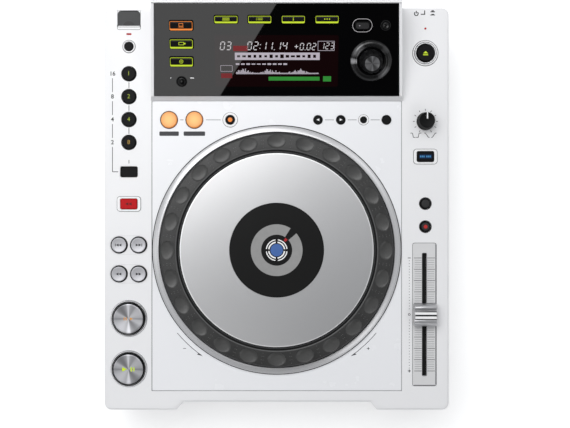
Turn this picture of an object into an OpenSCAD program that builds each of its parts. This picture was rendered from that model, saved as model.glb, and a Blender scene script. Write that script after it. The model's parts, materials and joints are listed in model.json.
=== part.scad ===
/* [Case] */
// Width of the case
case_w = 305; // [300:1:315]
// Depth of the case, front to back
case_d = 356; // [350:1:362]
// Height of the control deck above the table
deck_z = 72; // [70:1:78]
// Height of the rubber feet
foot_h = 6; // [4:0.5:8]
// Radius of the rubber feet
foot_r = 11; // [8:0.5:13]
// Wall thickness of both shells
wall = 3; // [2.5:0.1:3.5]
// Radius of the upright corners
corner_r = 6; // [4:0.5:8]
// Chamfer around the top edge
edge_cut = 1.6; // [0.8:0.2:2.2]
// Height of the joint between the shells
split_z = 30; // [28:0.5:31]
// Depth of the undercut above the rear sockets
overhang = 9; // [8.8:0.1:10]
// Height at which the rear overhang begins
overhang_z = 54; // [52:0.5:57]
// Width of the front recess at its mouth
recess_w = 177; // [170:1:184]
// Depth of the front recess
recess_d = 7; // [5:0.5:8]
// Sideways lean of each end of the front recess
recess_slant = 6; // [3:0.5:8]

/* [Deck panel] */
// Width of each column of controls beside the deck panel
column_w = 41.8; // [40.5:0.1:43]
// Distance from the front edge of the case to the deck panel
deck_front = 16.9; // [14.9:0.5:18.4]
// Thickness of the deck panel
deck_t = 3; // [2.5:0.1:3.4]
// Width of the ledge that carries the deck panel
ledge_w = 3; // [2:0.5:3.5]
// Gap round the deck panel
panel_gap = 0.25; // [0.1:0.05:0.4]

/* [Display hood] */
// Distance from the rear edge to the front of the hood top
hood_run = 79; // [76:0.5:82]
// Height of the hood's front lip above the deck
lip_h = 6; // [5:0.5:7]
// How far the front lip leans
lip_run = 3.5; // [2:0.5:5]
// Tilt of the display window in degrees
hood_tilt = 20; // [18:0.5:21]
// Length of the display window up the slope
window_l = 80.5; // [78:0.5:81]
// Distance from the side of the deck panel to the window's front corner
window_inset = 2.9; // [2.5:0.1:4]
// How much narrower the window is at its rear edge, on each side
window_taper = 3.5; // [2.5:0.1:5]
// Thickness of the display window
window_t = 3; // [2.5:0.1:3.5]
// Width of the hood rim beside the window
rim_w = 2.6; // [2.2:0.1:3]

/* [Jog wheel] */
// Distance from the rear edge to the jog centre
jog_back = 214.2; // [211.2:0.5:216.2]
// Distance from the side of the deck panel to the dark finger ring
ring_margin = 7.3; // [6.7:0.1:9]
// Width of the dark finger ring
ring_w = 16; // [14.5:0.1:17]
// Height of the ring's top above the deck
ring_h = 9.5; // [8.5:0.25:10.5]
// Number of finger dimples
dimples = 24; // [18:1:28]
// Depth of each finger dimple
dimple_deep = 1.3; // [0.8:0.1:1.6]
// Height of the platter's face above the deck
platter_h = 8; // [7.5:0.1:8.4]
// Radius of the display in the middle of the jog
jog_display_r = 41.3; // [39:0.1:42.5]
// Width of the raised trim ring on the deck
trim_w = 5.2; // [4:0.1:5.4]
// Height of the raised trim ring
trim_h = 2.6; // [1.5:0.1:3]
// Gap between the ring and the trim round it
jog_gap = 0.8; // [0.5:0.1:1]
// Radius of the jog's bearing hub
hub_r = 47; // [46:0.5:49]
// Radial running clearance of shafts and hubs
run_gap = 0.05; // [0.03:0.01:0.08]

/* [Controls] */
// Distance from the left side to the left controls' centre line
left_inset = 21.7; // [21:0.1:22.6]
// Distance from the right side to the right controls' centre line
right_inset = 21; // [20:0.2:22]
// Radius of the small black buttons
small_r = 3.9; // [3.4:0.1:4.2]
// Radius of the numbered beat buttons
beat_r = 6; // [5:0.1:6.6]
// Distance between the beat buttons
beat_pitch = 20.25; // [18:0.25:20.5]
// Radius of the track and search buttons
search_r = 6.8; // [6:0.1:7]
// Distance between the two buttons of a search pair
search_pitch = 17.2; // [17:0.1:18]
// Radius of the cue and play buttons
play_r = 13.9; // [12:0.1:14.5]
// Distance between the cue and play buttons
play_pitch = 44.5; // [42:0.5:46]
// Radius of the loop buttons
loop_r = 7; // [6:0.1:7.4]
// Radius of the eject button
eject_r = 7.3; // [6:0.1:8]
// Width of the rectangular column buttons
rect_w = 14.8; // [13:0.2:16]
// Length of the rectangular column buttons
rect_l = 9; // [8:0.2:10]
// Width of the lit keys left of the display
source_w = 20.4; // [18:0.2:22]
// Width of the lit keys behind the display
menu_w = 20.4; // [18:0.2:22]
// Radius of the speed knob
speed_r = 7.9; // [7:0.1:9]
// Height of the speed knob
speed_h = 13; // [10:0.5:15]
// Radius of the selector knob
selector_r = 10; // [9:0.1:10.6]
// Height of the selector knob
selector_h = 13; // [10:0.5:14]
// Outer radius of the ring round the selector knob
selector_ring_r = 17.8; // [16:0.1:18]
// Side of the square slider knob
slider_side = 19.7; // [17:0.1:20]
// Height of the slider knob
slider_h = 12; // [9:0.5:14]
// Travel of the slider knob, end to end
slider_travel = 100; // [90:1:100]
// Gap between a button and its hole
key_gap = 0.4; // [0.3:0.05:0.5]
// Press travel of the small keys
key_travel = 1; // [0.6:0.1:1.2]
// Press travel of the cue and play buttons
play_travel = 1.8; // [1:0.1:2]
// Width of the USB cover
cover_w = 20; // [18:0.5:21]
// Length of the USB cover
cover_l = 14.3; // [13:0.1:15]

/* [Disc drive] */
// Height of the loaded disc's underside above the table
disc_z = 36; // [35.5:0.25:37]
// Distance from the front edge to the turntable's centre
turntable_front = 82; // [81:0.5:84]
// Width of the disc slot
slot_w = 128; // [125:0.5:130]
// Height of the disc slot
slot_h = 5.4; // [5:0.1:6]
// Radius of the loading roller
roller_r = 4; // [3.5:0.1:4.2]
// Radius of the turntable flange
flange_r = 15; // [13:0.2:15]
// Radius of the hub that centres the disc
disc_hub_r = 7.3; // [7:0.05:7.45]
// Travel of the optical pickup
pickup_travel = 33; // [28:0.5:33]
// Distance from the turntable axis to the pickup's lens at rest
pickup_home = 25; // [25:0.2:26]

/* [Rear sockets] */
// Height of the rear sockets above the table
socket_z = 42; // [41:0.5:43]
// Outer radius of the phono barrels
phono_r = 4.15; // [4:0.01:4.2]
// Length of the phono barrels behind the rear wall
phono_len = 8.3; // [8:0.1:8.6]
// Distance between the two audio phono sockets
phono_pitch = 16; // [14:0.5:18]
// Bore radius of the control jack
jack_r = 1.8; // [1.7:0.01:1.9]
// Distance from the right side to the power button
power_inset = 28.5; // [26:0.5:32]

/* [Hidden] */
$fn = 72;

// The layout distances below belong to a case of this size, and scale with it
LAYOUT_W = 305;
LAYOUT_D = 356;

FLANGE_W = 1;
FLANGE_T = 1.2;
FLANGE_GAP = 0.3;
STEM_R = 1.6;
SWITCH_H = 3.4;
SWITCH_SIDE = 6;
BOARD_T = 1.6;
BOARD_DROP = 14;
HOOD_BOARD_DROP = 12.5;
FLOOR_T = 2.5;
SCREW_R = 1.5;
SCREW_HEAD_R = 3;
SCREW_HEAD_T = 2;
CROSS_L = 3.6;
CROSS_W = 0.8;
BOSS_R = 4.6;
BOSS_UP = 12;
THREAD_GAP = 0.05;
SEAT = 0.3;
HOLE_RISE = 4;
STEM_PLAY = 0.15;
POST_R = 2;
MIN_CORNER = 1;
EPS = 1;

half_w = case_w / 2;
rear_y = case_d / 2;
front_y = -case_d / 2;

function across(mm) = mm * case_w / LAYOUT_W;
function along(mm) = mm * case_d / LAYOUT_D;
function from_rear(mm) = rear_y - along(mm);

rear_low_y = rear_y - overhang;
recess_y = front_y + recess_d;
deck_w = case_w - 2 * across(column_w);
left_x = -half_w + across(left_inset);
right_x = half_w - across(right_inset);
jog_y = from_rear(jog_back);
ring_r = deck_w / 2 - ring_margin;
ring_in = ring_r - ring_w;
deck_front_y = front_y + deck_front;
hood_y = from_rear(hood_run);
window_len = along(window_l);
hood_base_y = hood_y - lip_run;
hood_rise = window_len * sin(hood_tilt);
hood_top_z = deck_z + lip_h + hood_rise + 1.4;
window_end_y = hood_y + window_len * cos(hood_tilt);
window_front = deck_w / 2 - window_inset;
window_rear = window_front - window_taper;
window_ledge_t = 2;
window_ledge_w = 3.4;
sleeve_drop = 9;
support_drop = 14;
jog_well_r = ring_r - 4.4;

// Controls on the columns, measured from the rear edge
usb_stop_y = from_rear(34.3);
beat_y = from_rear(58.4);
select_y = beat_y - 3 * beat_pitch - along(26);
reverse_y = from_rear(173.6);
track_y = from_rear(209.9);
search_y = from_rear(235.5);
play_y = from_rear(319.4);
cue_y = play_y + play_pitch;
eject_y = from_rear(40.2);
speed_y = from_rear(100.5);
mode_y = from_rear(131.7);
range_y = from_rear(173.3);
tempo_y = from_rear(193.7);
slider_y = from_rear(271.4);
loop_y = from_rear(99.2);
cover_hinge_y = rear_y - 3.6;
cover_hinge_r = 1;
cover_t = 2;
power_x = half_w - power_inset;

// name, x, y, half width or radius, half length (0 if round), rise, travel, colour
COLUMN_KEYS = [
    ["usb_stop_button", left_x, usb_stop_y, small_r, 0, 1.4, key_travel, "black"],
    ["beat_1_button", left_x, beat_y, beat_r, 0, 1.6, key_travel, "dimgray"],
    ["beat_2_button", left_x, beat_y - beat_pitch, beat_r, 0, 1.6, key_travel, "dimgray"],
    ["beat_4_button", left_x, beat_y - 2 * beat_pitch, beat_r, 0, 1.6, key_travel, "dimgray"],
    ["beat_8_button", left_x, beat_y - 3 * beat_pitch, beat_r, 0, 1.6, key_travel, "dimgray"],
    ["beat_select_button", left_x, select_y, rect_w / 2, rect_l / 2, 1.6, key_travel, "black"],
    ["reverse_button", left_x, reverse_y, rect_w / 2, rect_l / 2, 1.8, key_travel, "crimson"],
    ["track_back_button", left_x - search_pitch / 2, track_y, search_r, 0, 2, key_travel, "silver"],
    ["track_forward_button", left_x + search_pitch / 2, track_y, search_r, 0, 2, key_travel, "silver"],
    ["search_back_button", left_x - search_pitch / 2, search_y, search_r, 0, 2, key_travel, "silver"],
    ["search_forward_button", left_x + search_pitch / 2, search_y, search_r, 0, 2, key_travel, "silver"],
    ["cue_button", left_x, cue_y, play_r, 0, 3.4, play_travel, "darkgray"],
    ["play_button", left_x, play_y, play_r, 0, 3.4, play_travel, "darkgray"],
    ["eject_button", right_x, eject_y, eject_r, 0, 1.8, key_travel, "black"],
    ["jog_mode_button", right_x, mode_y, rect_w / 2, rect_l / 2, 1.8, key_travel, "black"],
    ["tempo_range_button", right_x, range_y, small_r + 0.8, 0, 1.4, key_travel, "black"],
    ["master_tempo_button", right_x, tempo_y, small_r + 0.8, 0, 1.4, key_travel, "black"]
];

DECK_KEYS = [
    ["loop_in_button", across(-95.3), loop_y, loop_r, 0, 2, key_travel, "orange"],
    ["loop_out_button", across(-72.9), loop_y, loop_r, 0, 2, key_travel, "orange"],
    ["reloop_button", across(-41.2), loop_y, small_r + 0.1, 0, 1.4, key_travel, "black"],
    ["call_previous_button", across(36.5), loop_y, small_r, 0, 1.4, key_travel, "black"],
    ["call_next_button", across(56.7), loop_y, small_r, 0, 1.4, key_travel, "black"],
    ["delete_button", across(76.8), loop_y, small_r - 1.1, 0, 1, key_travel / 2, "black"],
    ["memory_button", across(97.1), loop_y, small_r + 0.1, 0, 1.4, key_travel, "black"]
];

// On the hood, y is the distance up the slope from the window's front edge
source_l = 8.6;
menu_v = window_len - 13.5;
menu_l = 7;
back_v = window_len - 18.7;
HOOD_KEYS = [
    ["pc_button", across(-81.6), back_v, source_w / 2, source_l / 2, 2.4, key_travel, "khaki"],
    ["usb_button", across(-81.9), back_v - 15.6, source_w / 2, source_l / 2, 2.4, key_travel, "khaki"],
    ["disc_button", across(-82.4), back_v - 31.1, source_w / 2, source_l / 2, 2.4, key_travel, "khaki"],
    ["time_mode_button", across(-83), back_v - 48.7, small_r, 0, 1.4, key_travel, "black"],
    ["browse_button", across(-43.1), menu_v, menu_w / 2, menu_l / 2, 1.8, key_travel, "khaki"],
    ["tag_list_button", across(-14.3), menu_v, menu_w / 2, menu_l / 2, 1.8, key_travel, "khaki"],
    ["info_button", across(14.4), menu_v, menu_w / 2, menu_l / 2, 1.8, key_travel, "khaki"],
    ["menu_button", across(43.2), menu_v, menu_w / 2, menu_l / 2, 1.8, key_travel, "khaki"],
    ["back_button", across(73.6), back_v, 6.3, 3.4, 1.6, key_travel, "black"],
    ["tag_track_button", across(93.6), back_v, small_r - 0.5, 0, 1.4, key_travel, "black"]
];
selector_u = across(82);
selector_v = back_v - 30.4;

FIXED = ["bottom_case", "top_case", "deck_panel", "display_window", "display_module",
    "jog_display", "jog_support", "main_board", "switch_board", "power_board",
    "drive_chassis", "rear_sockets", "rubber_feet", "case_screws"];
MOVING = ["jog_ring", "jog_platter", "speed_knob", "selector_knob", "selector_shaft", "slider_knob",
    "usb_cover", "power_button", "disc_turntable", "optical_pickup", "lead_screw", "loading_roller"];

// ---------- Shared outlines ----------

module rounded_rect(w, d, r) {
    square([w - 2 * r, d], center = true);
    square([w, d - 2 * r], center = true);
    for (sx = [-1, 1])
        for (sy = [-1, 1])
            translate([sx * (w / 2 - r), sy * (d / 2 - r)]) circle(r);
}

module rounded_span(x0, x1, y0, y1, r) {
    translate([(x0 + x1) / 2, (y0 + y1) / 2]) rounded_rect(x1 - x0, y1 - y0, r);
}

// Plan of the case, drawn in by inset, ending at the given rear line
module case_plan(inset, back) {
    difference() {
        rounded_span(-half_w + inset, half_w - inset, front_y + inset, back - inset,
            max(corner_r - inset, 1));
        polygon([
            [-recess_w / 2 - inset, front_y - EPS],
            [-recess_w / 2 - inset, front_y + inset],
            [-recess_w / 2 + recess_slant - inset, recess_y + inset],
            [recess_w / 2 - recess_slant + inset, recess_y + inset],
            [recess_w / 2 + inset, front_y + inset],
            [recess_w / 2 + inset, front_y - EPS]
        ]);
    }
}

// Section of the hood across the machine, drawn in by inset
module hood_front_view(inset) {
    rise = hood_top_z - deck_z;
    base = window_front + rim_w + window_taper * lip_h / hood_rise;
    top = base - window_taper * rise / hood_rise;
    polygon([
        [-base + inset, -EPS - wall], [base - inset, -EPS - wall],
        [base - inset, 0], [top - inset, rise + EPS],
        [-top + inset, rise + EPS], [-base + inset, 0]
    ]);
}

// Section of the hood along the machine
module hood_side_view() {
    top = hood_top_z - deck_z;
    polygon([
        [hood_base_y, -EPS - wall], [hood_base_y, 0], [hood_y, lip_h],
        [window_end_y, lip_h + hood_rise], [window_end_y + 0.6, top],
        [rear_y - 1.2, top], [rear_y, top - 2], [rear_y, -EPS - wall]
    ]);
}

// Section of the space inside the hood, under the ledge that carries the window
module hood_space_view() {
    skin = (window_t + window_ledge_t) / cos(hood_tilt);
    y0 = hood_base_y + wall;
    y1 = rear_y - wall;
    polygon([
        [y0, -EPS - wall], [y0, lip_h + (y0 - hood_y) * tan(hood_tilt) - skin],
        [y1, lip_h + (y1 - hood_y) * tan(hood_tilt) - skin], [y1, -EPS - wall]
    ]);
}

module across_hood(inset) {
    intersection() {
        translate([0, rear_y + EPS, deck_z]) rotate([90, 0, 0])
            linear_extrude(along(hood_run) + lip_run + 2 * EPS) hood_front_view(inset);
        translate([-half_w, 0, deck_z]) rotate([90, 0, 90]) linear_extrude(case_w) children();
    }
}

// Puts children on the sloping face of the hood
module on_hood(u = 0, v = 0, w = 0) {
    translate([0, hood_y, deck_z + lip_h]) rotate([hood_tilt, 0, 0]) translate([u, v, w]) children();
}

module window_plan(inset) {
    polygon([
        [-window_front + inset, inset], [window_front - inset, inset],
        [window_rear - inset, window_len - inset], [-window_rear + inset, window_len - inset]
    ]);
}

// ---------- Keys ----------

module key_plan(k, grow) {
    if (k[4] == 0) circle(k[3] + grow);
    else rounded_rect(2 * (k[3] + grow), 2 * (k[4] + grow), 1.4 + max(grow, 0) / 2);
}

// Hole for a key through a skin whose outside is at z = 0
module key_hole(k, skin) {
    translate([k[1], k[2], -skin - EPS]) linear_extrude(skin + EPS + HOLE_RISE) key_plan(k, key_gap);
}

// Room under the skin for the keeper flange of a key
module key_room(k, skin, drop) {
    translate([k[1], k[2], -drop]) linear_extrude(drop - skin) key_plan(k, FLANGE_W + key_gap);
}

// A key with its cap, keeper flange and stem; z = 0 is the outside of the skin
module key(k, skin, drop) {
    flange_z = -skin - FLANGE_GAP;
    stem_end = -drop + SWITCH_H + k[6] + STEM_PLAY;
    edge = min(0.5, k[5] / 3);
    color(k[7]) translate([k[1], k[2], 0]) {
        if (k[4] == 0) rotate_extrude() polygon([
            [0, stem_end], [STEM_R, stem_end], [STEM_R, flange_z - FLANGE_T],
            [k[3] + FLANGE_W, flange_z - FLANGE_T], [k[3] + FLANGE_W, flange_z],
            [k[3], flange_z], [k[3], k[5] - edge], [k[3] - edge, k[5]], [0, k[5]]
        ]);
        else {
            translate([0, 0, flange_z]) linear_extrude(k[5] - edge - flange_z) key_plan(k, 0);
            translate([0, 0, k[5] - edge]) linear_extrude(edge) key_plan(k, -edge);
            translate([0, 0, flange_z - FLANGE_T]) linear_extrude(FLANGE_T)
                key_plan(k, FLANGE_W);
            translate([0, 0, stem_end]) cylinder(r = STEM_R, h = flange_z - FLANGE_T / 2 - stem_end);
        }
    }
}

module switch_at(k) {
    translate([k[1], k[2], SWITCH_H / 2]) cube([SWITCH_SIDE, SWITCH_SIDE, SWITCH_H], center = true);
}

// ---------- Case ----------

boss_x = half_w - wall - BOSS_R + 1;
BOSS_Y = [front_y + 18, -6, rear_low_y - 18];

module at_bosses() {
    for (sx = [-1, 1])
        for (y = BOSS_Y)
            translate([sx * boss_x, y, 0]) children();
}

board_z = split_z;
drive_z = 20;
chassis_wall = 3;
chassis_half = slot_w / 2 + 2;
drive_front_y = recess_y + wall + 1.5;
turntable_y = front_y + turntable_front;
drive_rear_y = turntable_y + pickup_home + pickup_travel + 13;
board_front_y = drive_rear_y + 12;
board_rear_y = rear_low_y - wall - 1;
board_side = 15;
board_gap = 6;
main_x0 = -half_w + board_side;
main_x1 = across(52);
power_x0 = main_x1 + board_gap;
power_x1 = half_w - board_side;
chip_side = 24;
chip_t = 2.2;
capacitor_r = 3.4;
capacitor_h = 9;
supply_w = 34;
supply_l = 30;
supply_h = 20;
mains_switch_w = 14;
mains_switch_l = 16;
board_post_r = 3.5;
chassis_post_r = 4;

module at_board_posts(x0, x1) {
    for (x = [x0 + 6, x1 - 6])
        for (y = [board_front_y + 6, board_rear_y - 24])
            translate([x, y, 0]) children();
}

module board_post() {
    translate([0, 0, foot_h]) cylinder(r = board_post_r, h = board_z - foot_h);
}

module bottom_case() {
    color("gainsboro") difference() {
        union() {
            difference() {
                translate([0, 0, foot_h]) linear_extrude(split_z - foot_h) case_plan(0, rear_low_y);
                translate([0, 0, foot_h + FLOOR_T]) linear_extrude(split_z) case_plan(wall, rear_low_y);
            }
            at_bosses() translate([0, 0, foot_h]) cylinder(r = BOSS_R, h = split_z - foot_h);
            at_board_posts(main_x0, main_x1) board_post();
            at_board_posts(power_x0, power_x1) board_post();
            for (sx = [-1, 1])
                for (y = [drive_front_y + 3 * chassis_post_r, drive_rear_y - 3 * chassis_post_r])
                    translate([sx * (chassis_half - 2 * chassis_post_r), y, foot_h])
                        cylinder(r = chassis_post_r, h = drive_z - foot_h);
        }
        at_bosses() {
            translate([0, 0, foot_h - EPS]) cylinder(r = SCREW_R + 0.3, h = split_z);
            translate([0, 0, foot_h - EPS]) cylinder(r = SCREW_HEAD_R + 0.4, h = EPS + SCREW_HEAD_T + 0.5);
        }
    }
}

rca_audio_x = across(-62);
rca_digital_x = across(-18);
jack_x = across(8);
usb_b_x = across(34);
inlet_x = across(86);
inlet_w = 24;
inlet_h = 12;
usb_b_w = 12;
usb_b_h = 11;
power_w = 10;
power_h = 6;

module rear_wall_hole(x, w, h) {
    translate([x - w / 2, rear_low_y - wall - EPS, socket_z - h / 2]) cube([w, wall + 2 * EPS, h]);
}

module rear_round_hole(x, r) {
    translate([x, rear_low_y + EPS, socket_z]) rotate([90, 0, 0]) cylinder(r = r, h = wall + 2 * EPS);
}

slot_z0 = disc_z - 0.6;

module slot_opening(grow) {
    translate([-slot_w / 2 - grow, recess_y - 2 * wall, slot_z0 - grow])
        cube([slot_w + 2 * grow, 4 * wall, slot_h + 2 * grow]);
}

// Raised rim moulded round the mouth of the disc slot
module slot_rim() {
    translate([0, recess_y - 1.2, slot_z0 + slot_h / 2]) rotate([-90, 0, 0]) linear_extrude(1.2 + EPS)
        rounded_rect(slot_w + 9, slot_h + 6, 3);
}

cover_gap = 0.6;
well_w = cover_w + cover_gap;
well_l = cover_l + cover_gap;
nail_r = 4.6;
nail_deep = 1.2;
socket_well_w = 15;
socket_well_l = 7;
stick_socket_h = deck_z - overhang_z - wall - 5;
cover_y = cover_hinge_y + cover_hinge_r - cover_l / 2;

module cover_pocket() {
    translate([left_x - well_w / 2, cover_hinge_y + 1.3 - well_l, deck_z - cover_t - cover_gap])
        cube([well_w, well_l, cover_t + cover_gap + EPS]);
    translate([left_x - socket_well_w / 2, cover_y - socket_well_l / 2, deck_z - 2 * wall])
        cube([socket_well_w, socket_well_l, 3 * wall]);
}

slider_x = right_x - 0.8;
plate_w = 20.9;
plate_l = 126.4;
plate_deep = 0.6;
slot_half = slider_travel / 2 + 4.5;

module top_case() {
    color("whitesmoke") difference() {
        union() {
            difference() {
                union() {
                    translate([0, 0, split_z]) linear_extrude(overhang_z - split_z)
                        case_plan(0, rear_low_y);
                    translate([0, 0, overhang_z]) linear_extrude(deck_z - overhang_z - edge_cut)
                        case_plan(0, rear_y);
                    translate([0, 0, deck_z - edge_cut]) linear_extrude(edge_cut / 2)
                        case_plan(edge_cut * 0.3, rear_y);
                    translate([0, 0, deck_z - edge_cut / 2]) linear_extrude(edge_cut / 2)
                        case_plan(edge_cut, rear_y);
                }
                translate([0, 0, split_z - EPS]) linear_extrude(deck_z - wall - split_z + EPS)
                    case_plan(wall, rear_low_y);
                translate([0, 0, overhang_z + wall])
                    linear_extrude(deck_z - overhang_z - 2 * wall) case_plan(wall, rear_y);
            }
            across_hood(0) hood_side_view();
            // Ledge under the deck panel
            translate([0, 0, deck_z - deck_t - wall]) linear_extrude(wall) difference() {
                rounded_span(-deck_w / 2 - ledge_w, deck_w / 2 + ledge_w,
                    deck_front_y - ledge_w, hood_base_y + ledge_w, 2);
                rounded_span(-deck_w / 2 + ledge_w, deck_w / 2 - ledge_w,
                    deck_front_y + ledge_w, hood_base_y - ledge_w, 2);
            }
            at_bosses() translate([0, 0, split_z]) cylinder(r = BOSS_R, h = BOSS_UP);
            column_posts();
            slot_rim();
        }
        // Inside of the hood
        across_hood(rim_w + 1) hood_space_view();
        on_hood(0, 0, -window_t) linear_extrude(window_t + 6) window_plan(-panel_gap / 2);
        on_hood(0, 0, -3 * window_t) linear_extrude(4 * window_t) window_plan(window_ledge_w);
        // Pocket for the deck panel
        translate([0, 0, deck_z - deck_t]) linear_extrude(deck_t + EPS)
            rounded_span(-deck_w / 2, deck_w / 2, deck_front_y, hood_base_y, 2);
        translate([0, 0, deck_z - deck_t - wall - EPS]) linear_extrude(wall + 2 * EPS)
            rounded_span(-deck_w / 2 + ledge_w, deck_w / 2 - ledge_w,
                deck_front_y + ledge_w, hood_base_y - ledge_w, 2);
        translate([0, 0, deck_z]) for (k = COLUMN_KEYS) {
            key_hole(k, wall);
            key_room(k, wall, BOARD_DROP);
        }
        translate([right_x, speed_y, deck_z - 2 * wall]) cylinder(r = 3.6, h = 3 * wall);
        translate([slider_x - plate_w / 2, slider_y - plate_l / 2, deck_z - plate_deep])
            cube([plate_w, plate_l, EPS + plate_deep]);
        translate([slider_x - fader_slot / 2, slider_y - slot_half, deck_z - 2 * wall])
            cube([fader_slot, 2 * slot_half, 3 * wall]);
        cover_pocket();
        slot_opening(0);
        for (x = [rca_audio_x, rca_audio_x + phono_pitch, rca_digital_x])
            rear_round_hole(x, phono_r + 0.5);
        rear_round_hole(jack_x, 3.5);
        rear_wall_hole(usb_b_x, usb_b_w + 0.6, usb_b_h + 0.6);
        rear_wall_hole(inlet_x, inlet_w + 0.6, inlet_h + 0.6);
        rear_wall_hole(power_x, power_w + 0.8, power_h + 0.8);
        at_bosses() translate([0, 0, split_z - EPS]) cylinder(r = SCREW_R + THREAD_GAP, h = BOSS_UP - 1);
    }
}

column_board_z = deck_z - BOARD_DROP;
LEFT_POST_Y = [usb_stop_y - 12, reverse_y + 14, (cue_y + search_y) / 2 + 1, play_y + 22];
RIGHT_POST_Y = [eject_y - 15, (mode_y + range_y) / 2];

// Posts moulded under the columns that carry the key boards
module column_posts() {
    for (y = LEFT_POST_Y)
        for (x = [-half_w + 7.5, left_x + 15.5])
            translate([x, y, column_board_z]) cylinder(r = POST_R, h = BOARD_DROP - wall / 2);
    for (y = RIGHT_POST_Y)
        for (x = [right_x - 14, half_w - 7.5])
            translate([x, y, column_board_z]) cylinder(r = POST_R, h = BOARD_DROP - wall / 2);
    for (x = [slider_x - 14, half_w - 7.5])
        translate([x, front_y + 14, column_board_z]) cylinder(r = POST_R, h = BOARD_DROP - wall / 2);
}

deck_board_in = 3.6;
DECK_POST_X = [-deck_w / 2 + deck_board_in + POST_R, across(-57), across(20), across(87)];

module deck_panel() {
    color("white") difference() {
        union() {
            translate([0, 0, deck_z - deck_t]) linear_extrude(deck_t)
                rounded_span(-deck_w / 2 + panel_gap, deck_w / 2 - panel_gap,
                    deck_front_y + panel_gap, hood_base_y - panel_gap, 2);
            translate([0, jog_y, 0]) rotate_extrude($fn = 180) polygon([
                [ring_r + jog_gap, deck_z - EPS], [ring_r + jog_gap + trim_w, deck_z - EPS],
                [ring_r + jog_gap + trim_w, deck_z + trim_h * 0.5],
                [ring_r + jog_gap + trim_w - 1.2, deck_z + trim_h],
                [ring_r + jog_gap, deck_z + trim_h]
            ]);
            for (x = DECK_POST_X)
                translate([x, loop_y + 5, column_board_z])
                    cylinder(r = POST_R, h = BOARD_DROP - deck_t / 2);
        }
        translate([0, jog_y, deck_z - deck_t - EPS])
            cylinder(r = jog_well_r, h = deck_t + trim_h + 2 * EPS, $fn = 180);
        translate([0, 0, deck_z]) for (k = DECK_KEYS) key_hole(k, deck_t);
    }
}

// ---------- Hood ----------

HOOD_POSTS = [
    [across(-63), 12], [across(61), 60], [across(-63), 66], [across(61), 12],
    [-window_rear + 6.5, 68], [window_rear - 6.5, 9]
];

module display_window() {
    color("black") difference() {
        union() {
            on_hood(0, 0, -window_t) linear_extrude(window_t) window_plan(panel_gap);
            on_hood(selector_u, selector_v, -window_t) rotate_extrude() polygon([
                [selector_r + 2, EPS], [selector_ring_r, EPS], [selector_ring_r, window_t + 1],
                [selector_ring_r - 2.4, window_t + 3], [selector_r + 2, window_t + 3]
            ]);
            for (p = HOOD_POSTS)
                on_hood(p[0], p[1], -HOOD_BOARD_DROP) cylinder(r = 2.2, h = HOOD_BOARD_DROP - 1);
        }
        on_hood() for (k = HOOD_KEYS) key_hole(k, window_t);
        on_hood(selector_u, selector_v, -2 * window_t) cylinder(r = shaft_r + 0.5, h = 4 * window_t);
    }
}

screen_w = 101;
screen_l = 40.5;
screen_v = 31;

module display_module() {
    color("darkslategray") {
        on_hood(0, screen_v, -HOOD_BOARD_DROP) translate([-screen_w / 2 - 5, -screen_l / 2 - 3, 0])
            cube([screen_w + 10, screen_l + 6, HOOD_BOARD_DROP - window_t - 2]);
        on_hood(0, screen_v, -window_t - 2.01) translate([-screen_w / 2 - 1, -screen_l / 2, 0])
            cube([screen_w + 2, screen_l, 2.01 - 0.2]);
    }
}

// ---------- Jog wheel ----------

ring_bottom = jog_gap;
ring_land = platter_h - 2.5;

module jog_ring() {
    dimple_r = 16;
    dimple_c = ring_in + 8.2;
    slope = 12;
    color("dimgray") translate([0, jog_y, deck_z]) difference() {
        rotate_extrude($fn = 180) polygon([
            [ring_in - 8, ring_land - 2], [ring_in + 2, ring_bottom], [ring_r, ring_bottom],
            [ring_r, 3.4], [ring_r - 1.2, 5.2], [ring_r - 3.4, ring_h - 2.6],
            [ring_r - 6, ring_h - 1.4], [ring_in + 5.5, ring_h - 0.2], [ring_in + 3, ring_h],
            [ring_in + 1, ring_h - 0.5], [ring_in, ring_h - 1.6], [ring_in, ring_land],
            [ring_in - 8, ring_land]
        ]);
        for (i = [0 : dimples - 1])
            rotate([0, 0, i * 360 / dimples])
                translate([dimple_c, 0, ring_h - 0.8 - dimple_deep]) rotate([0, slope, 0])
                    translate([0, 0, dimple_r]) sphere(dimple_r);
    }
}

module jog_platter() {
    color("silver") translate([0, jog_y, deck_z]) rotate_extrude($fn = 180) polygon([
        [hub_r + run_gap, -sleeve_drop], [hub_r + run_gap + 3, -sleeve_drop],
        [hub_r + run_gap + 3, ring_land], [ring_in - SEAT, ring_land],
        [ring_in - SEAT, platter_h], [jog_display_r + 0.3, platter_h],
        [jog_display_r + 0.3, ring_land + 1], [hub_r + run_gap, ring_land - 1]
    ]);
}

module jog_display() {
    color("black") translate([0, jog_y, deck_z]) {
        cylinder(r = jog_display_r - 2, h = platter_h - 2, $fn = 120);
        translate([0, 0, platter_h - 2.5]) cylinder(r = jog_display_r, h = 2.5, $fn = 120);
    }
}

module jog_support() {
    ear_r = ring_r - 0.4;
    color("lightgray") translate([0, jog_y, deck_z]) difference() {
        union() {
            translate([0, 0, -support_drop]) cylinder(r = ring_r - 6, h = 3, $fn = 120);
            translate([0, 0, -support_drop]) cylinder(r = hub_r, h = support_drop, $fn = 120);
            translate([0, 0, -support_drop]) cylinder(r = hub_r + 6, h = support_drop - sleeve_drop - SEAT);
            for (i = [0 : 5])
                rotate([0, 0, i * 60]) {
                    translate([ear_r, 0, -support_drop]) cylinder(r = 3, h = support_drop - deck_t);
                    translate([ring_r - 12, -3, -support_drop]) cube([12, 6, 3]);
                }
        }
        translate([0, 0, -support_drop - EPS])
            cylinder(r = jog_display_r - 6, h = support_drop - 1, $fn = 120);
    }
}

// ---------- Knobs, slider and cover ----------

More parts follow.
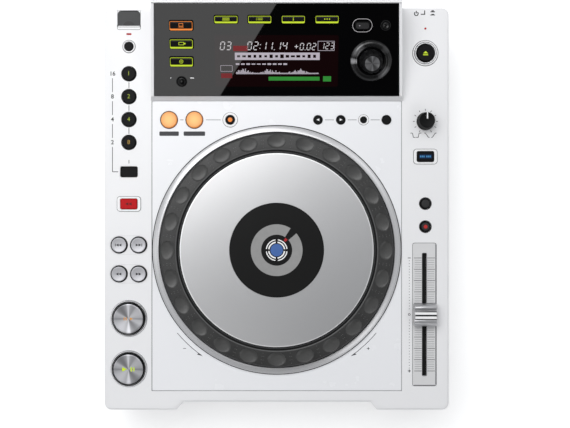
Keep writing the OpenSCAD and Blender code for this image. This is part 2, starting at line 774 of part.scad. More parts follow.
module knob_shape(r, top_r, h, foot, stem_r, stem_drop) {
    rotate_extrude() polygon([
        [0, -stem_drop], [stem_r, -stem_drop], [stem_r, foot], [r, foot],
        [r, foot + 1.5], [top_r, h - 0.8], [top_r - 0.8, h], [0, h]
    ]);
}

pot_top = 9;
pot_side = 14;
pot_shaft_r = 3;
shaft_r = 2.5;
shaft_in = selector_h - 4;
press_gap = 1.2;
knob_foot = 0.4;
flute_r = 2;
flutes = 12;
stem_w = 3;
stem_l = 8;
fader_w = 12;
fader_slot = 4;
fader_floor = 3;

module speed_knob() {
    color("black") translate([right_x, speed_y, deck_z]) difference() {
        knob_shape(speed_r, speed_r - 0.9, speed_h, knob_foot, pot_shaft_r, pot_top + 2);
        // Pointer groove
        translate([-0.6, speed_r - 5.4, speed_h - 0.6]) cube([1.2, 7, 2]);
    }
}

module selector_knob() {
    color("black") on_hood(selector_u, selector_v) difference() {
        knob_shape(selector_r, selector_r - 1.4, selector_h, press_gap, selector_r - 2, -press_gap);
        translate([0, 0, -EPS]) cylinder(r = shaft_r + run_gap, h = shaft_in + EPS);
        for (i = [0 : flutes - 1])
            rotate([0, 0, i * 360 / flutes])
                translate([selector_r + 1.1, 0, 3]) cylinder(r = flute_r, h = selector_h);
    }
}

// The selector is pressed as well as turned: the knob turns on this shaft, which slides
module selector_shaft() {
    shaft_end = -HOOD_BOARD_DROP + 2.5;
    color("silver") on_hood(selector_u, selector_v, shaft_end)
        cylinder(r = shaft_r, h = shaft_in - run_gap - shaft_end);
}

module slider_knob() {
    // Side view: shoulders, two crests and a hollow for the finger between them
    crest = slider_side * 0.36;
    hollow = slider_side * 0.12;
    color("silver") translate([slider_x, slider_y, deck_z]) {
        translate([0, 0, knob_foot]) rotate([90, 0, 90])
            translate([0, 0, -slider_side / 2]) linear_extrude(slider_side) polygon([
                [-slider_side / 2, 0], [slider_side / 2, 0], [slider_side / 2, slider_h * 0.55],
                [crest, slider_h * 0.95], [hollow, slider_h * 0.8],
                [-hollow, slider_h * 0.8], [-crest, slider_h * 0.95],
                [-slider_side / 2, slider_h * 0.55]
            ]);
        translate([-stem_w / 2, -stem_l / 2, -BOARD_DROP + fader_floor + 2])
            cube([stem_w, stem_l, BOARD_DROP - fader_floor - 1]);
    }
}

module usb_cover() {
    color("dimgray") translate([left_x, 0, deck_z]) difference() {
        union() {
            translate([-cover_w / 2, cover_hinge_y + cover_hinge_r - cover_l, -cover_t])
                cube([cover_w, cover_l - cover_hinge_r, cover_t]);
            translate([-cover_w / 2, cover_hinge_y, -cover_hinge_r]) rotate([0, 90, 0])
                cylinder(r = cover_hinge_r, h = cover_w);
        }
        // Half-round hollow for a fingernail
        translate([0, cover_y - cover_l / 2, -nail_deep]) cylinder(r = nail_r, h = nail_deep + EPS);
    }
}

module power_button() {
    color("black") translate([power_x, rear_low_y, socket_z]) {
        translate([-power_w / 2, -wall - FLANGE_GAP - FLANGE_T, -power_h / 2])
            cube([power_w, wall + FLANGE_GAP + FLANGE_T + 3, power_h]);
        translate([-power_w / 2 - 1.2, -wall - FLANGE_GAP - FLANGE_T, -power_h / 2 - 1.2])
            cube([power_w + 2.4, FLANGE_T, power_h + 2.4]);
    }
}

// ---------- Boards ----------

module board(x0, x1, y0, y1, z) {
    translate([x0, y0, z]) cube([x1 - x0, y1 - y0, BOARD_T]);
}

module main_board() {
    color("darkgreen") {
        board(main_x0, main_x1, board_front_y, board_rear_y, board_z);
        for (i = [0 : 2])
            translate([main_x0 + chip_side * (1 + 2 * i), board_front_y + 3 * chip_side, board_z + BOARD_T])
                cube([chip_side, chip_side, chip_t]);
        for (i = [1 : 6])
            translate([main_x0 + chip_side * i, board_front_y + 10 * capacitor_r, board_z + BOARD_T])
                cylinder(r = capacitor_r, h = capacitor_h);
    }
}

module power_board() {
    color("darkgreen") {
        board(power_x0, power_x1, board_front_y, board_rear_y, board_z);
        translate([power_x0 + board_side, board_front_y + supply_l, board_z + BOARD_T])
            cube([supply_w, supply_l, supply_h]);
        for (i = [1, 2])
            translate([power_x1 - board_side, board_front_y + i * supply_l, board_z + BOARD_T])
                cylinder(r = supply_w / 4, h = supply_h);
        // Mains switch behind the power button
        translate([power_x - mains_switch_w / 2, board_rear_y - 1.5 * mains_switch_l, board_z + BOARD_T])
            cube([mains_switch_w, mains_switch_l, socket_z + power_h - board_z - BOARD_T]);
    }
}

module switch_board() {
    board_x0 = -half_w + wall + 0.5;
    board_x1 = left_x + 18;
    color("seagreen") {
        translate([0, 0, column_board_z]) {
            board(board_x0, board_x1, play_y - play_r - 2, usb_stop_y + SWITCH_SIDE, -BOARD_T);
            board(slider_x - 17, half_w - wall - 0.5, front_y + 10, eject_y + 8, -BOARD_T);
            board(-deck_w / 2 + deck_board_in, deck_w / 2 - deck_board_in,
                loop_y - SWITCH_SIDE, loop_y + 1.5 * SWITCH_SIDE, -BOARD_T);
            for (k = COLUMN_KEYS) switch_at(k);
            for (k = DECK_KEYS) switch_at(k);
            // Turning control under the speed knob
            translate([right_x, speed_y, 0]) difference() {
                translate([-pot_side / 2, -pot_side / 2, 0])
                    cube([pot_side, pot_side, BOARD_DROP - pot_top]);
                translate([0, 0, -EPS]) cylinder(r = pot_shaft_r + run_gap, h = BOARD_DROP);
            }
            // Fader under the slider
            translate([slider_x, slider_y, 0]) difference() {
                translate([-fader_w / 2, -slot_half - fader_w / 2, 0])
                    cube([fader_w, 2 * slot_half + fader_w, BOARD_DROP - wall - 0.5]);
                translate([-fader_slot / 2, -slot_half, fader_floor])
                    cube([fader_slot, 2 * slot_half, BOARD_DROP]);
            }
        }
        on_hood(0, 0, -HOOD_BOARD_DROP) {
            translate([-window_rear + 3.5, 6, -BOARD_T])
                cube([2 * window_rear - 7, window_len - 14, BOARD_T]);
            for (k = HOOD_KEYS) switch_at(k);
            translate([selector_u, selector_v, 0]) difference() {
                translate([-pot_side / 2, -pot_side / 2, 0])
                    cube([pot_side, pot_side, HOOD_BOARD_DROP - pot_top + 3]);
                translate([0, 0, -EPS]) cylinder(r = shaft_r + run_gap, h = HOOD_BOARD_DROP);
            }
        }
    }
}

// ---------- Disc drive ----------

roller_y = drive_front_y + 5.5;
roller_z = disc_z - 0.1 - roller_r;
rod_x = 27;
rod_z = disc_z - 8;
journal_r = 1.5;
motor_r = 11;
motor_h = 8;
bracket_w = 8;
bracket_t = 3;
screw_r = 2.5;
pickup_w = 38;
pickup_l = 14;
pickup_h = 8;
guide_w = 13;
guide_h = 7;
arm_l = 6;
lens_r = 4;
lens_h = 2.2;

module drive_chassis() {
    wall_top = disc_z + 8;
    color("slategray") difference() {
        union() {
            translate([-chassis_half, drive_front_y, drive_z])
                cube([2 * chassis_half, drive_rear_y - drive_front_y, 2]);
            for (sx = [-1, 1])
                translate([sx * (chassis_half - chassis_wall / 2) - chassis_wall / 2, drive_front_y, drive_z])
                    cube([chassis_wall, drive_rear_y - drive_front_y, wall_top - drive_z]);
            // Spindle motor
            translate([0, turntable_y, drive_z]) cylinder(r = motor_r, h = motor_h);
            // End walls that carry the guide rod and the lead screw
            for (y = [turntable_y - 2, drive_rear_y - bracket_t])
                for (sx = [-1, 1])
                    translate([sx * rod_x - bracket_w / 2, y, drive_z])
                        cube([bracket_w, bracket_t, rod_z - drive_z + bracket_w / 2]);
            translate([-rod_x, turntable_y, rod_z]) rotate([-90, 0, 0])
                cylinder(r = journal_r, h = drive_rear_y - turntable_y - 1);
        }
        translate([0, turntable_y, drive_z + 2]) cylinder(r = journal_r + run_gap, h = motor_h + 2);
        translate([rod_x, turntable_y - 4, rod_z]) rotate([-90, 0, 0])
            cylinder(r = journal_r + run_gap, h = drive_rear_y - turntable_y + 8);
        translate([-chassis_half - EPS, roller_y, roller_z]) rotate([0, 90, 0])
            cylinder(r = journal_r + run_gap, h = 2 * chassis_half + 2 * EPS);
    }
}

module disc_turntable() {
    color("dimgray") translate([0, turntable_y, 0]) rotate_extrude() polygon([
        [0, drive_z + 3], [journal_r, drive_z + 3], [journal_r, disc_z - 3], [flange_r, disc_z - 3],
        [flange_r, disc_z], [disc_hub_r, disc_z], [disc_hub_r, disc_z + 1.4],
        [disc_hub_r - 2.5, disc_z + 2.6], [0, disc_z + 2.6]
    ]);
}

module optical_pickup() {
    y = turntable_y + pickup_home + 1.5;
    arm_x = pickup_w / 2 - 5;
    color("darkgray") difference() {
        union() {
            translate([-pickup_w / 2, y - pickup_l / 2, rod_z - pickup_h / 2])
                cube([pickup_w, pickup_l, pickup_h]);
            translate([-rod_x - bracket_w / 2, y - pickup_l / 2, rod_z - guide_h / 2])
                cube([guide_w, pickup_l, guide_h]);
            translate([arm_x, y - arm_l / 2, rod_z - pickup_h / 2])
                cube([rod_x - arm_x + screw_r + 2, arm_l, pickup_h]);
            translate([0, y, rod_z + pickup_h / 2 - 0.1]) cylinder(r = lens_r, h = lens_h);
        }
        translate([-rod_x, y - pickup_l, rod_z]) rotate([-90, 0, 0])
            cylinder(r = journal_r + run_gap, h = 2 * pickup_l);
        translate([rod_x, y - pickup_l, rod_z]) rotate([-90, 0, 0])
            cylinder(r = screw_r + SEAT, h = 2 * pickup_l);
    }
}

screw_pitch = 3;

module lead_screw() {
    y0 = turntable_y + 1 + SEAT;
    y1 = drive_rear_y - bracket_t - SEAT;
    grooves = floor((y1 - y0 - 3) / screw_pitch);
    color("gainsboro") translate([rod_x, 0, rod_z]) rotate([-90, 0, 0]) difference() {
        union() {
            translate([0, 0, turntable_y - 3]) cylinder(r = journal_r, h = drive_rear_y - turntable_y + 4);
            translate([0, 0, y0]) cylinder(r = screw_r, h = y1 - y0);
        }
        for (i = [0 : grooves - 1])
            translate([0, 0, y0 + 2 + i * screw_pitch]) rotate_extrude() polygon([
                [screw_r + 1, -0.9], [screw_r - 0.6, -0.3], [screw_r - 0.6, 0.3], [screw_r + 1, 0.9]
            ]);
    }
}

module loading_roller() {
    color("black") translate([0, roller_y, roller_z]) rotate([0, 90, 0]) {
        translate([0, 0, -chassis_half + chassis_wall + SEAT])
            cylinder(r = roller_r, h = 2 * (chassis_half - chassis_wall - SEAT));
        translate([0, 0, -chassis_half]) cylinder(r = journal_r, h = 2 * chassis_half);
    }
}

// ---------- Rear sockets, feet and screws ----------

socket_l = 14;
phono_side = 12;
phono_pin_r = 1.6;
jack_side = 10;
jack_neck_r = 3.2;
socket_skin = 1.5;
blade_r = 1.2;
blade_l = 10;
blade_x = 4.3;
inlet_deep = 18;
usb_b_deep = 15;
tongue_w = 5.6;
tongue_h = 3.2;
stick_shell_w = 12.5;
stick_shell_l = 5.1;

// A block from the board up to a height above the sockets' centre line, behind the rear wall
module socket_block(w, l, up) {
    low = socket_z - board_z - BOARD_T;
    translate([-w / 2, -wall - l, -low]) cube([w, l, low + up]);
}

module phono_socket(x) {
    translate([x, rear_low_y, socket_z]) difference() {
        union() {
            socket_block(phono_side, socket_l, phono_side / 2);
            translate([0, -wall - EPS, 0]) rotate([-90, 0, 0]) cylinder(r = phono_r + 0.3, h = wall + EPS);
            translate([0, -wall - EPS, 0]) rotate([-90, 0, 0])
                cylinder(r = phono_r, h = wall + EPS + phono_len);
        }
        translate([0, -wall, 0]) rotate([-90, 0, 0]) cylinder(r = phono_pin_r, h = 2 * phono_len);
    }
}

module control_jack(x) {
    translate([x, rear_low_y, socket_z]) difference() {
        union() {
            socket_block(jack_side, socket_l, jack_side / 2);
            translate([0, -wall - EPS, 0]) rotate([-90, 0, 0]) cylinder(r = jack_neck_r, h = wall + EPS);
        }
        translate([0, -socket_l, 0]) rotate([-90, 0, 0]) cylinder(r = jack_r, h = socket_l + EPS);
    }
}

module square_socket(x, w, h, depth, cavity_w, cavity_h) {
    translate([x, rear_low_y, socket_z]) difference() {
        union() {
            socket_block(w + 2 * socket_skin, depth, h / 2 + socket_skin);
            translate([-w / 2, -wall - EPS, -h / 2]) cube([w, wall + EPS, h]);
        }
        translate([-cavity_w / 2, -depth, -cavity_h / 2]) cube([cavity_w, depth + EPS, cavity_h]);
    }
}

module rear_sockets() {
    color("dimgray") {
        for (x = [rca_audio_x, rca_audio_x + phono_pitch, rca_digital_x]) phono_socket(x);
        control_jack(jack_x);
        square_socket(usb_b_x, usb_b_w, usb_b_h, usb_b_deep, 8.5, 7.8);
        translate([usb_b_x - tongue_w / 2, rear_low_y - usb_b_deep - 0.5, socket_z - tongue_h / 2])
            cube([tongue_w, usb_b_deep / 2, tongue_h]);
        square_socket(inlet_x, inlet_w, inlet_h, inlet_deep, 19, 8);
        for (sx = [-1, 1])
            translate([inlet_x + sx * blade_x, rear_low_y - inlet_deep - 0.5, socket_z]) rotate([-90, 0, 0])
                cylinder(r = blade_r, h = blade_l);
        // Socket for a memory stick under the cover, standing on the rear shelf
        translate([left_x, cover_y, overhang_z + wall]) {
            difference() {
                translate([-9, -5, 0]) cube([18, 10, stick_socket_h]);
                translate([-stick_shell_w / 2, -stick_shell_l / 2, 2])
                    cube([stick_shell_w, stick_shell_l, stick_socket_h]);
            }
            translate([-5.6, 0.4, 1]) cube([11.2, 1.8, stick_socket_h / 2 - 1]);
        }
    }
}

foot_in = 30;

module rubber_feet() {
    color("black") for (sx = [-1, 1])
        for (y = [front_y + foot_in, rear_low_y - foot_in])
            translate([sx * (half_w - foot_in + 2), y, 0]) rotate_extrude() polygon([
                [0, 0], [foot_r - 1, 0], [foot_r, 1], [foot_r, foot_h], [0, foot_h]
            ]);
}

module case_screws() {
    color("silver") at_bosses() {
        translate([0, 0, foot_h + 0.5]) difference() {
            cylinder(r = SCREW_HEAD_R, h = SCREW_HEAD_T);
            for (a = [0, 90])
                rotate([0, 0, a]) translate([-CROSS_L / 2, -CROSS_W / 2, -EPS])
                    cube([CROSS_L, CROSS_W, EPS + 1]);
        }
        translate([0, 0, foot_h + 2]) cylinder(r = SCREW_R, h = split_z + BOSS_UP - 4 - foot_h);
    }
}

bottom_case();
top_case();
deck_panel();
display_window();
display_module();
jog_ring();
jog_platter();
jog_display();
jog_support();
speed_knob();
selector_knob();
selector_shaft();
slider_knob();
usb_cover();
power_button();
main_board();
switch_board();
power_board();
drive_chassis();
disc_turntable();
optical_pickup();
lead_screw();
loading_roller();
rear_sockets();
rubber_feet();
case_screws();
for (k = COLUMN_KEYS)
    translate([0, 0, deck_z]) key(k, wall, BOARD_DROP);
for (k = DECK_KEYS)
    translate([0, 0, deck_z]) key(k, deck_t, BOARD_DROP);
for (k = HOOD_KEYS)
    on_hood() key(k, window_t, HOOD_BOARD_DROP);
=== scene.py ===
"""Looks for the tabletop disc player: finishes, trims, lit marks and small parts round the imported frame.

Lengths are in millimetres. Matrices, radii in shaders, the floor, lamps and the camera are in metres.
"""

import json
import math
import random

import bmesh
import bpy
from mathutils import Matrix, Vector


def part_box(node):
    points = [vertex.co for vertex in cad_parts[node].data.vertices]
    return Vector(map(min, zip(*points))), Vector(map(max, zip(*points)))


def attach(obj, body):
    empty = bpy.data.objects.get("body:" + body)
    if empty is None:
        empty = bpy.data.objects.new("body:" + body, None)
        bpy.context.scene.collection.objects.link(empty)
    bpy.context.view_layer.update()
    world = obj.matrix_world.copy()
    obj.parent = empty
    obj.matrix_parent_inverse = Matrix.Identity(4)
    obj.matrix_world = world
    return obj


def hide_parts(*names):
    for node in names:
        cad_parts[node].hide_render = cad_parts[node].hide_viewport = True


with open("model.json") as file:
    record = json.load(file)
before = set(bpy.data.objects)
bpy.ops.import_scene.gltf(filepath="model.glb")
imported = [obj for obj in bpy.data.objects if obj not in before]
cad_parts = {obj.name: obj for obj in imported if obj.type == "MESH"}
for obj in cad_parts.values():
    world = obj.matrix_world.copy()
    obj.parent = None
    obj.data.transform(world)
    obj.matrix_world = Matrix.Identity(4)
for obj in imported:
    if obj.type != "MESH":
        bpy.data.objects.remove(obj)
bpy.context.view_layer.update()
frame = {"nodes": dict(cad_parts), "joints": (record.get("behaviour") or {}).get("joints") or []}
random.seed(7)

MM = 0.001
NODES = frame["nodes"]
JOINTS = {joint["name"]: joint for joint in frame["joints"]}
PRINT_T = 0.06
DIGIT_SIZE = 5.2
HERE = Matrix.Identity(4)


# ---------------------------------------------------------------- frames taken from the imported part

def shift(x=0.0, y=0.0, z=0.0, base=HERE):
    """The axes base, moved along themselves."""
    return base @ Matrix.Translation((x * MM, y * MM, z * MM))


def box_mm(node):
    """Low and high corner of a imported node."""
    return [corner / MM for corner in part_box(node)]


def local_points(node, surface):
    """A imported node's points in the axes of a surface."""
    inverse = surface.inverted()
    return [inverse @ v.co / MM for v in NODES[node].data.vertices]


JOG = Vector(JOINTS["jog_turn"]["pos_m"])
AT_JOG = Matrix.Translation(JOG)
DECK_Z = JOG.z / MM
DECK = shift(z=DECK_Z)
PRESS_IN = Vector(JOINTS["pc_press"]["axis"])
TILT = math.atan2(PRESS_IN.y, -PRESS_IN.z)
# The window's front edge is read at its left end, up to this x
WINDOW_LEFT = -90.0


def hood_frame():
    """The display hood's face: origin at the front edge of the window, x across, y up the slope, z out."""
    turn = Matrix.Rotation(TILT, 4, "X")
    local = [p for p in local_points("display_window", turn) if p.x < WINDOW_LEFT]
    out = max(p.z for p in local)
    up = min(p.y for p in local if p.z > out - 0.1)
    return turn @ shift(0, up, out)


HOOD = hood_frame()


class Spot:
    """Where a key lies on its surface: middle, half sizes of the part above the surface, and its top."""

    def __init__(self, node, surface):
        points = local_points(node, surface)
        cap = [p for p in points if p.z > -0.1]
        x0, x1 = min(p.x for p in cap), max(p.x for p in cap)
        y0, y1 = min(p.y for p in cap), max(p.y for p in cap)
        self.x, self.rx = (x0 + x1) / 2, (x1 - x0) / 2
        self.y, self.ry = (y0 + y1) / 2, (y1 - y0) / 2
        self.top = max(p.z for p in points)
        self.node = node
        self.name = node.replace("_button", "")
        self.surface = surface

    def at(self, z=0.0):
        return shift(self.x, self.y, z, self.surface)


# ---------------------------------------------------------------- mesh building

def rounded(w, h, r, steps=5, cx=0.0, cy=0.0):
    """Outline of a rounded rectangle, anticlockwise."""
    least = 1e-3
    r = max(min(r, w / 2 - least, h / 2 - least), least)
    points = []
    for sx, sy, start in ((1, 1, 0), (-1, 1, 90), (-1, -1, 180), (1, -1, 270)):
        for i in range(steps + 1):
            a = math.radians(start + 90 * i / steps)
            points.append((cx + sx * (w / 2 - r) + r * math.cos(a), cy + sy * (h / 2 - r) + r * math.sin(a)))
    return points


def circle(r, steps=64, cx=0.0, cy=0.0):
    turns = [math.tau * i / steps for i in range(steps)]
    return [(cx + r * math.cos(a), cy + r * math.sin(a)) for a in turns]


def bar(w, h, cx=0.0, cy=0.0):
    x0, x1, y0, y1 = cx - w / 2, cx + w / 2, cy - h / 2, cy + h / 2
    return [(x0, y0), (x1, y0), (x1, y1), (x0, y1)]


def triangle(size, cx=0.0, turn=0.0):
    """A play triangle that points to the right, or the way it is turned."""
    points = ((-size * 0.45, -size * 0.5), (size * 0.55, 0), (-size * 0.45, size * 0.5))
    c, s = math.cos(turn), math.sin(turn)
    return [(cx + x * c - y * s, x * s + y * c) for x, y in points]


def flat_ring(r0, r1, z0, z1):
    """Profile of a flat ring between two radii and two heights."""
    return [(r0, z0), (r1, z0), (r1, z1), (r0, z1)]


class Solid:
    """Collects closed shells, which become one piece."""

    def __init__(self):
        self.verts = []
        self.faces = []

    def _add(self, points, matrix):
        base = len(self.verts)
        self.verts += [matrix @ (Vector(p) * MM) for p in points]
        return base

    def _rows(self, rows, matrix, closed):
        """Faces between equal rows of points, each row a loop; closed joins the last row to the first."""
        count = len(rows[0])
        base = self._add([p for row in rows for p in row], matrix)
        for k in range(len(rows) if closed else len(rows) - 1):
            a = base + k * count
            b = base + (k + 1) % len(rows) * count
            for i in range(count):
                j = (i + 1) % count
                self.faces.append((a + i, a + j, b + j, b + i))
        return base

    def loft(self, layers, matrix=HERE):
        """A closed solid through outlines of equal length: layers are (outline, z)."""
        count = len(layers[0][0])
        base = self._rows([[(x, y, z) for x, y in outline] for outline, z in layers], matrix, False)
        last = base + (len(layers) - 1) * count
        self.faces.append(tuple(base + i for i in reversed(range(count))))
        self.faces.append(tuple(last + i for i in range(count)))
        return self

    def plate(self, outline, z0, z1, matrix=HERE):
        return self.loft([(outline, z0), (outline, z1)], matrix)

    def plates(self, outlines, matrix=HERE):
        """Flat print, one thin plate for each outline."""
        for outline in outlines:
            self.plate(outline, 0, PRINT_T, matrix)
        return self

    def band(self, outer, inner, z0, z1, matrix=HERE):
        """A flat ring between two outlines of equal length."""
        return self.web([[(x, y, z) for x, y in outline]
                         for outline, z in ((outer, z0), (outer, z1), (inner, z1), (inner, z0))], matrix)

    def web(self, rows, matrix=HERE):
        """A closed ring from equal loops of points, each joined to the next one and the last to the first."""
        self._rows(rows, matrix, True)
        return self

    def revolve(self, profile, matrix=HERE, steps=96, start=0.0, sweep=math.tau):
        """A closed profile of (radius, z) points turned about z; a sweep under a full turn gets end faces."""
        whole = abs(sweep - math.tau) < 1e-6
        turns = steps if whole else steps + 1
        count = len(profile)
        points = []
        for i in range(turns):
            a = start + sweep * i / steps
            points += [(r * math.cos(a), r * math.sin(a), z) for r, z in profile]
        base = self._add(points, matrix)
        for i in range(steps):
            a = base + i * count
            b = base + (i + 1) % turns * count
            for k in range(count):
                n = (k + 1) % count
                if profile[k][0] > 0 or profile[n][0] > 0:
                    self.faces.append((a + k, b + k, b + n, a + n))
        if not whole:
            last = base + steps * count
            self.faces.append(tuple(base + k for k in range(count)))
            self.faces.append(tuple(last + k for k in reversed(range(count))))
        return self

    def strokes(self, segments, width, matrix=HERE, height=PRINT_T):
        """Straight flat strokes: segments are (x0, y0, x1, y1)."""
        for x0, y0, x1, y1 in segments:
            along = Vector((x1 - x0, y1 - y0))
            side = Vector((-along.y, along.x)).normalized() * width / 2
            outline = [(x0 - side.x, y0 - side.y), (x1 - side.x, y1 - side.y),
                       (x1 + side.x, y1 + side.y), (x0 + side.x, y0 + side.y)]
            self.plate(outline, 0, height, matrix)
        return self

    def piece(self, name, material, body="case", sharp=35.0, origin=HERE):
        """Makes one object. With an origin, its own axes sit there, so that a turned finish runs round it."""
        local = origin.inverted()
        mesh = bpy.data.meshes.new(name)
        mesh.from_pydata([tuple(local @ v) for v in self.verts], [], self.faces)
        clean = bmesh.new()
        clean.from_mesh(mesh)
        bmesh.ops.remove_doubles(clean, verts=clean.verts, dist=1e-7)
        bmesh.ops.recalc_face_normals(clean, faces=clean.faces)
        clean.to_mesh(mesh)
        clean.free()
        mesh.shade_smooth()
        mesh.set_sharp_from_angle(angle=math.radians(sharp))
        return placed(name, mesh, material, body, origin)


def placed(name, mesh, material, body, origin=HERE):
    """An object of one material that rides on a body."""
    mesh.materials.clear()
    mesh.materials.append(material)
    obj = bpy.data.objects.new(name, mesh)
    bpy.context.scene.collection.objects.link(obj)
    obj.matrix_world = origin
    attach(obj, body)
    return obj


def digits(text, matrix, name, material, body="case", bold=0.0):
    """Plain numbers as thin solid print; bold is how far the strokes grow."""
    curve = bpy.data.curves.new(name, "FONT")
    curve.body = text
    curve.size = DIGIT_SIZE * MM
    curve.align_x = "CENTER"
    curve.align_y = "CENTER"
    curve.extrude = PRINT_T / 2 * MM
    curve.offset = bold * MM
    source = bpy.data.objects.new(name + "_curve", curve)
    bpy.context.scene.collection.objects.link(source)
    bpy.context.view_layer.update()
    evaluated = source.evaluated_get(bpy.context.evaluated_depsgraph_get())
    mesh = bpy.data.meshes.new_from_object(evaluated)
    bpy.data.objects.remove(source)
    mesh.transform(shift(z=PRINT_T / 2, base=matrix))
    placed(name, mesh, material, body)


# ---------------------------------------------------------------- materials

class Graph:
    """Helpers that add nodes to a tree."""

    def __init__(self, tree):
        self.nodes, self.links = tree.nodes, tree.links

    def add(self, kind, **settings):
        node = self.nodes.new(kind)
        for key, value in settings.items():
            if key in node.inputs:
                node.inputs[key].default_value = value
            else:
                setattr(node, key, value)
        return node

    def vector(self, operation, a, b=None):
        node = self.add("ShaderNodeVectorMath", operation=operation)
        self.links.new(a, node.inputs[0])
        if b is not None:
            node.inputs[1].default_value = b
        return node.outputs["Value" if operation in ("DOT_PRODUCT", "LENGTH") else "Vector"]

    def maths(self, operation, a, b):
        node = self.add("ShaderNodeMath", operation=operation)
        for socket, value in zip(node.inputs, (a, b)):
            if isinstance(value, float):
                socket.default_value = value
            else:
                self.links.new(value, socket)
        return node.outputs[0]

    def spread(self, value, low, high, start=0.0, end=1.0, **settings):
        """Maps start to low and end to high."""
        node = self.add("ShaderNodeMapRange", **settings)
        self.links.new(value, node.inputs["Value"])
        for socket, number in (("From Min", start), ("From Max", end), ("To Min", low), ("To Max", high)):
            node.inputs[socket].default_value = number
        return node.outputs["Result"]


class Shader(Graph):
    """A principled material with object-space helpers for colour, roughness and bump."""

    def __init__(self, name, color, roughness, **sockets):
        self.material = bpy.data.materials.new(name)
        self.material.use_nodes = True
        self.material.diffuse_color = (*color, 1.0)
        super().__init__(self.material.node_tree)
        self.bsdf = self.nodes["Principled BSDF"]
        self.bsdf.inputs["Base Color"].default_value = (*color, 1.0)
        self.bsdf.inputs["Roughness"].default_value = roughness
        for socket, value in sockets.items():
            self.bsdf.inputs[socket.replace("_", " ")].default_value = value
        self.place = self.nodes.new("ShaderNodeTexCoord").outputs["Object"]
        self.height = None

    def noise(self, scale, detail=3.0, roughness=0.5, vector=None):
        node = self.add("ShaderNodeTexNoise", Scale=scale, Detail=detail, Roughness=roughness)
        self.links.new(vector or self.place, node.inputs["Vector"])
        return node.outputs["Fac"]

    def rings(self, centre, per_metre):
        """Fine rings about an axis through centre, as a lathe leaves them."""
        node = self.add("ShaderNodeTexNoise", noise_dimensions="1D", Scale=per_metre, Detail=3.0)
        self.links.new(self.radius(centre), node.inputs["W"])
        return node.outputs["Fac"]

    def radius(self, centre):
        """Distance from an axis through centre, parallel to the local z."""
        flat = self.vector("MULTIPLY", self.vector("SUBTRACT", self.place, centre), (1, 1, 0))
        return self.vector("LENGTH", flat)

    def mix(self, factor, a, b):
        node = self.add("ShaderNodeMix", data_type="RGBA")
        self.links.new(factor, node.inputs["Factor"])
        for socket, value in (("A", a), ("B", b)):
            if isinstance(value, tuple):
                node.inputs[socket].default_value = (*value, 1.0)
            else:
                self.links.new(value, node.inputs[socket])
        return node.outputs["Result"]

    def color(self, value):
        self.links.new(value, self.bsdf.inputs["Base Color"])

    def rough(self, value):
        self.links.new(value, self.bsdf.inputs["Roughness"])

    def bump(self, value, strength, distance):
        """Adds a bump over those before it; distance is in millimetres."""
        node = self.add("ShaderNodeBump", Strength=strength, Distance=distance * MM)
        self.links.new(value, node.inputs["Height"])
        if self.height is not None:
            self.links.new(self.height, node.inputs["Normal"])
        self.height = node.outputs["Normal"]
        self.links.new(self.height, self.bsdf.inputs["Normal"])


def shade(color, share):
    """A darker tone of a colour."""
    return tuple(c * share for c in color)


def moulded(name, color, roughness, grain=0.02, **sockets):
    """Moulded plastic: a fine grain, faint colour drift and slightly uneven gloss."""
    s = Shader(name, color, roughness, **sockets)
    s.color(s.mix(s.noise(9.0, 2.0), shade(color, 0.97), color))
    s.rough(s.spread(s.noise(60.0, 4.0), roughness - 0.04, roughness + 0.04))
    s.bump(s.noise(2600.0, 2.0), grain, 0.05)
    return s.material


def metal(name, color, roughness):
    """Straight brushed metal: fine lines along the local x axis."""
    s = Shader(name, color, roughness, Metallic=1.0)
    lines = s.noise(90.0, 4.0, vector=s.vector("MULTIPLY", s.place, (1.0, 60.0, 60.0)))
    s.rough(s.spread(lines, roughness - 0.08, roughness + 0.08))
    s.color(s.mix(s.noise(14.0, 2.0), shade(color, 0.94), color))
    s.bump(lines, 0.06, 0.04)
    return s.material


def spun(name, color, roughness, rings_per_metre, metallic=1.0, depth=0.03):
    """Metal turned on a lathe: fine rings about the jog wheel's axis."""
    s = Shader(name, color, roughness, Metallic=metallic)
    rings = s.rings(JOG, rings_per_metre)
    s.rough(s.spread(rings, roughness - 0.05, roughness + 0.05))
    s.bump(rings, depth, 0.03)
    s.color(s.mix(s.spread(rings, 0.0, 1.0, 0.3, 0.7), shade(color, 0.95), color))
    return s.material


# Painted sheen of a face turned to a flat cone, streaks of painted highlight and shade in its colour:
# direction and half width in degrees, and how much brighter or darker
FACE_PAINTED_SHEEN = ((90, 9, 0.42), (272, 12, 0.36), (126, 27, -0.34), (306, 30, -0.34), (180, 8, -0.22),
              (0, 8, -0.22), (36, 24, 0.16), (222, 32, 0.20), (66, 13, -0.12), (155, 12, 0.12))
# The same for the selector's ring, whose colour has one painted highlight streak at its left
RING_PAINTED_SHEEN = ((180, 10, 0.42), (140, 26, 0.14), (318, 26, 0.12), (40, 14, 0.05))


def cone_with_painted_sheen(name, dark, bright, roughness, metallic=1.0, sheen=FACE_PAINTED_SHEEN, base=0.5):
    """Metal turned to a very flat cone, over fine rings: streaks of painted sheen, lighter and darker by
    direction, run out from its middle in its colour.
    """
    s = Shader(name, bright, roughness, Metallic=metallic)
    way = s.vector("NORMALIZE", s.vector("MULTIPLY", s.place, (1, 1, 0)))
    tone = base
    for degrees, width, change in sheen:
        a = math.radians(degrees)
        facing = s.vector("DOT_PRODUCT", way, (math.cos(a), math.sin(a), 0))
        tone = s.maths("ADD", s.spread(facing, 0.0, change, math.cos(math.radians(width))), tone)
    # Painted sheen: the streaks of highlight and shade go into the base colour
    s.color(s.mix(tone, dark, bright))
    rings = s.rings((0, 0, 0), 4000.0)
    s.rough(s.spread(rings, roughness - 0.05, roughness + 0.05))
    s.bump(rings, 0.08, 0.03)
    return s.material


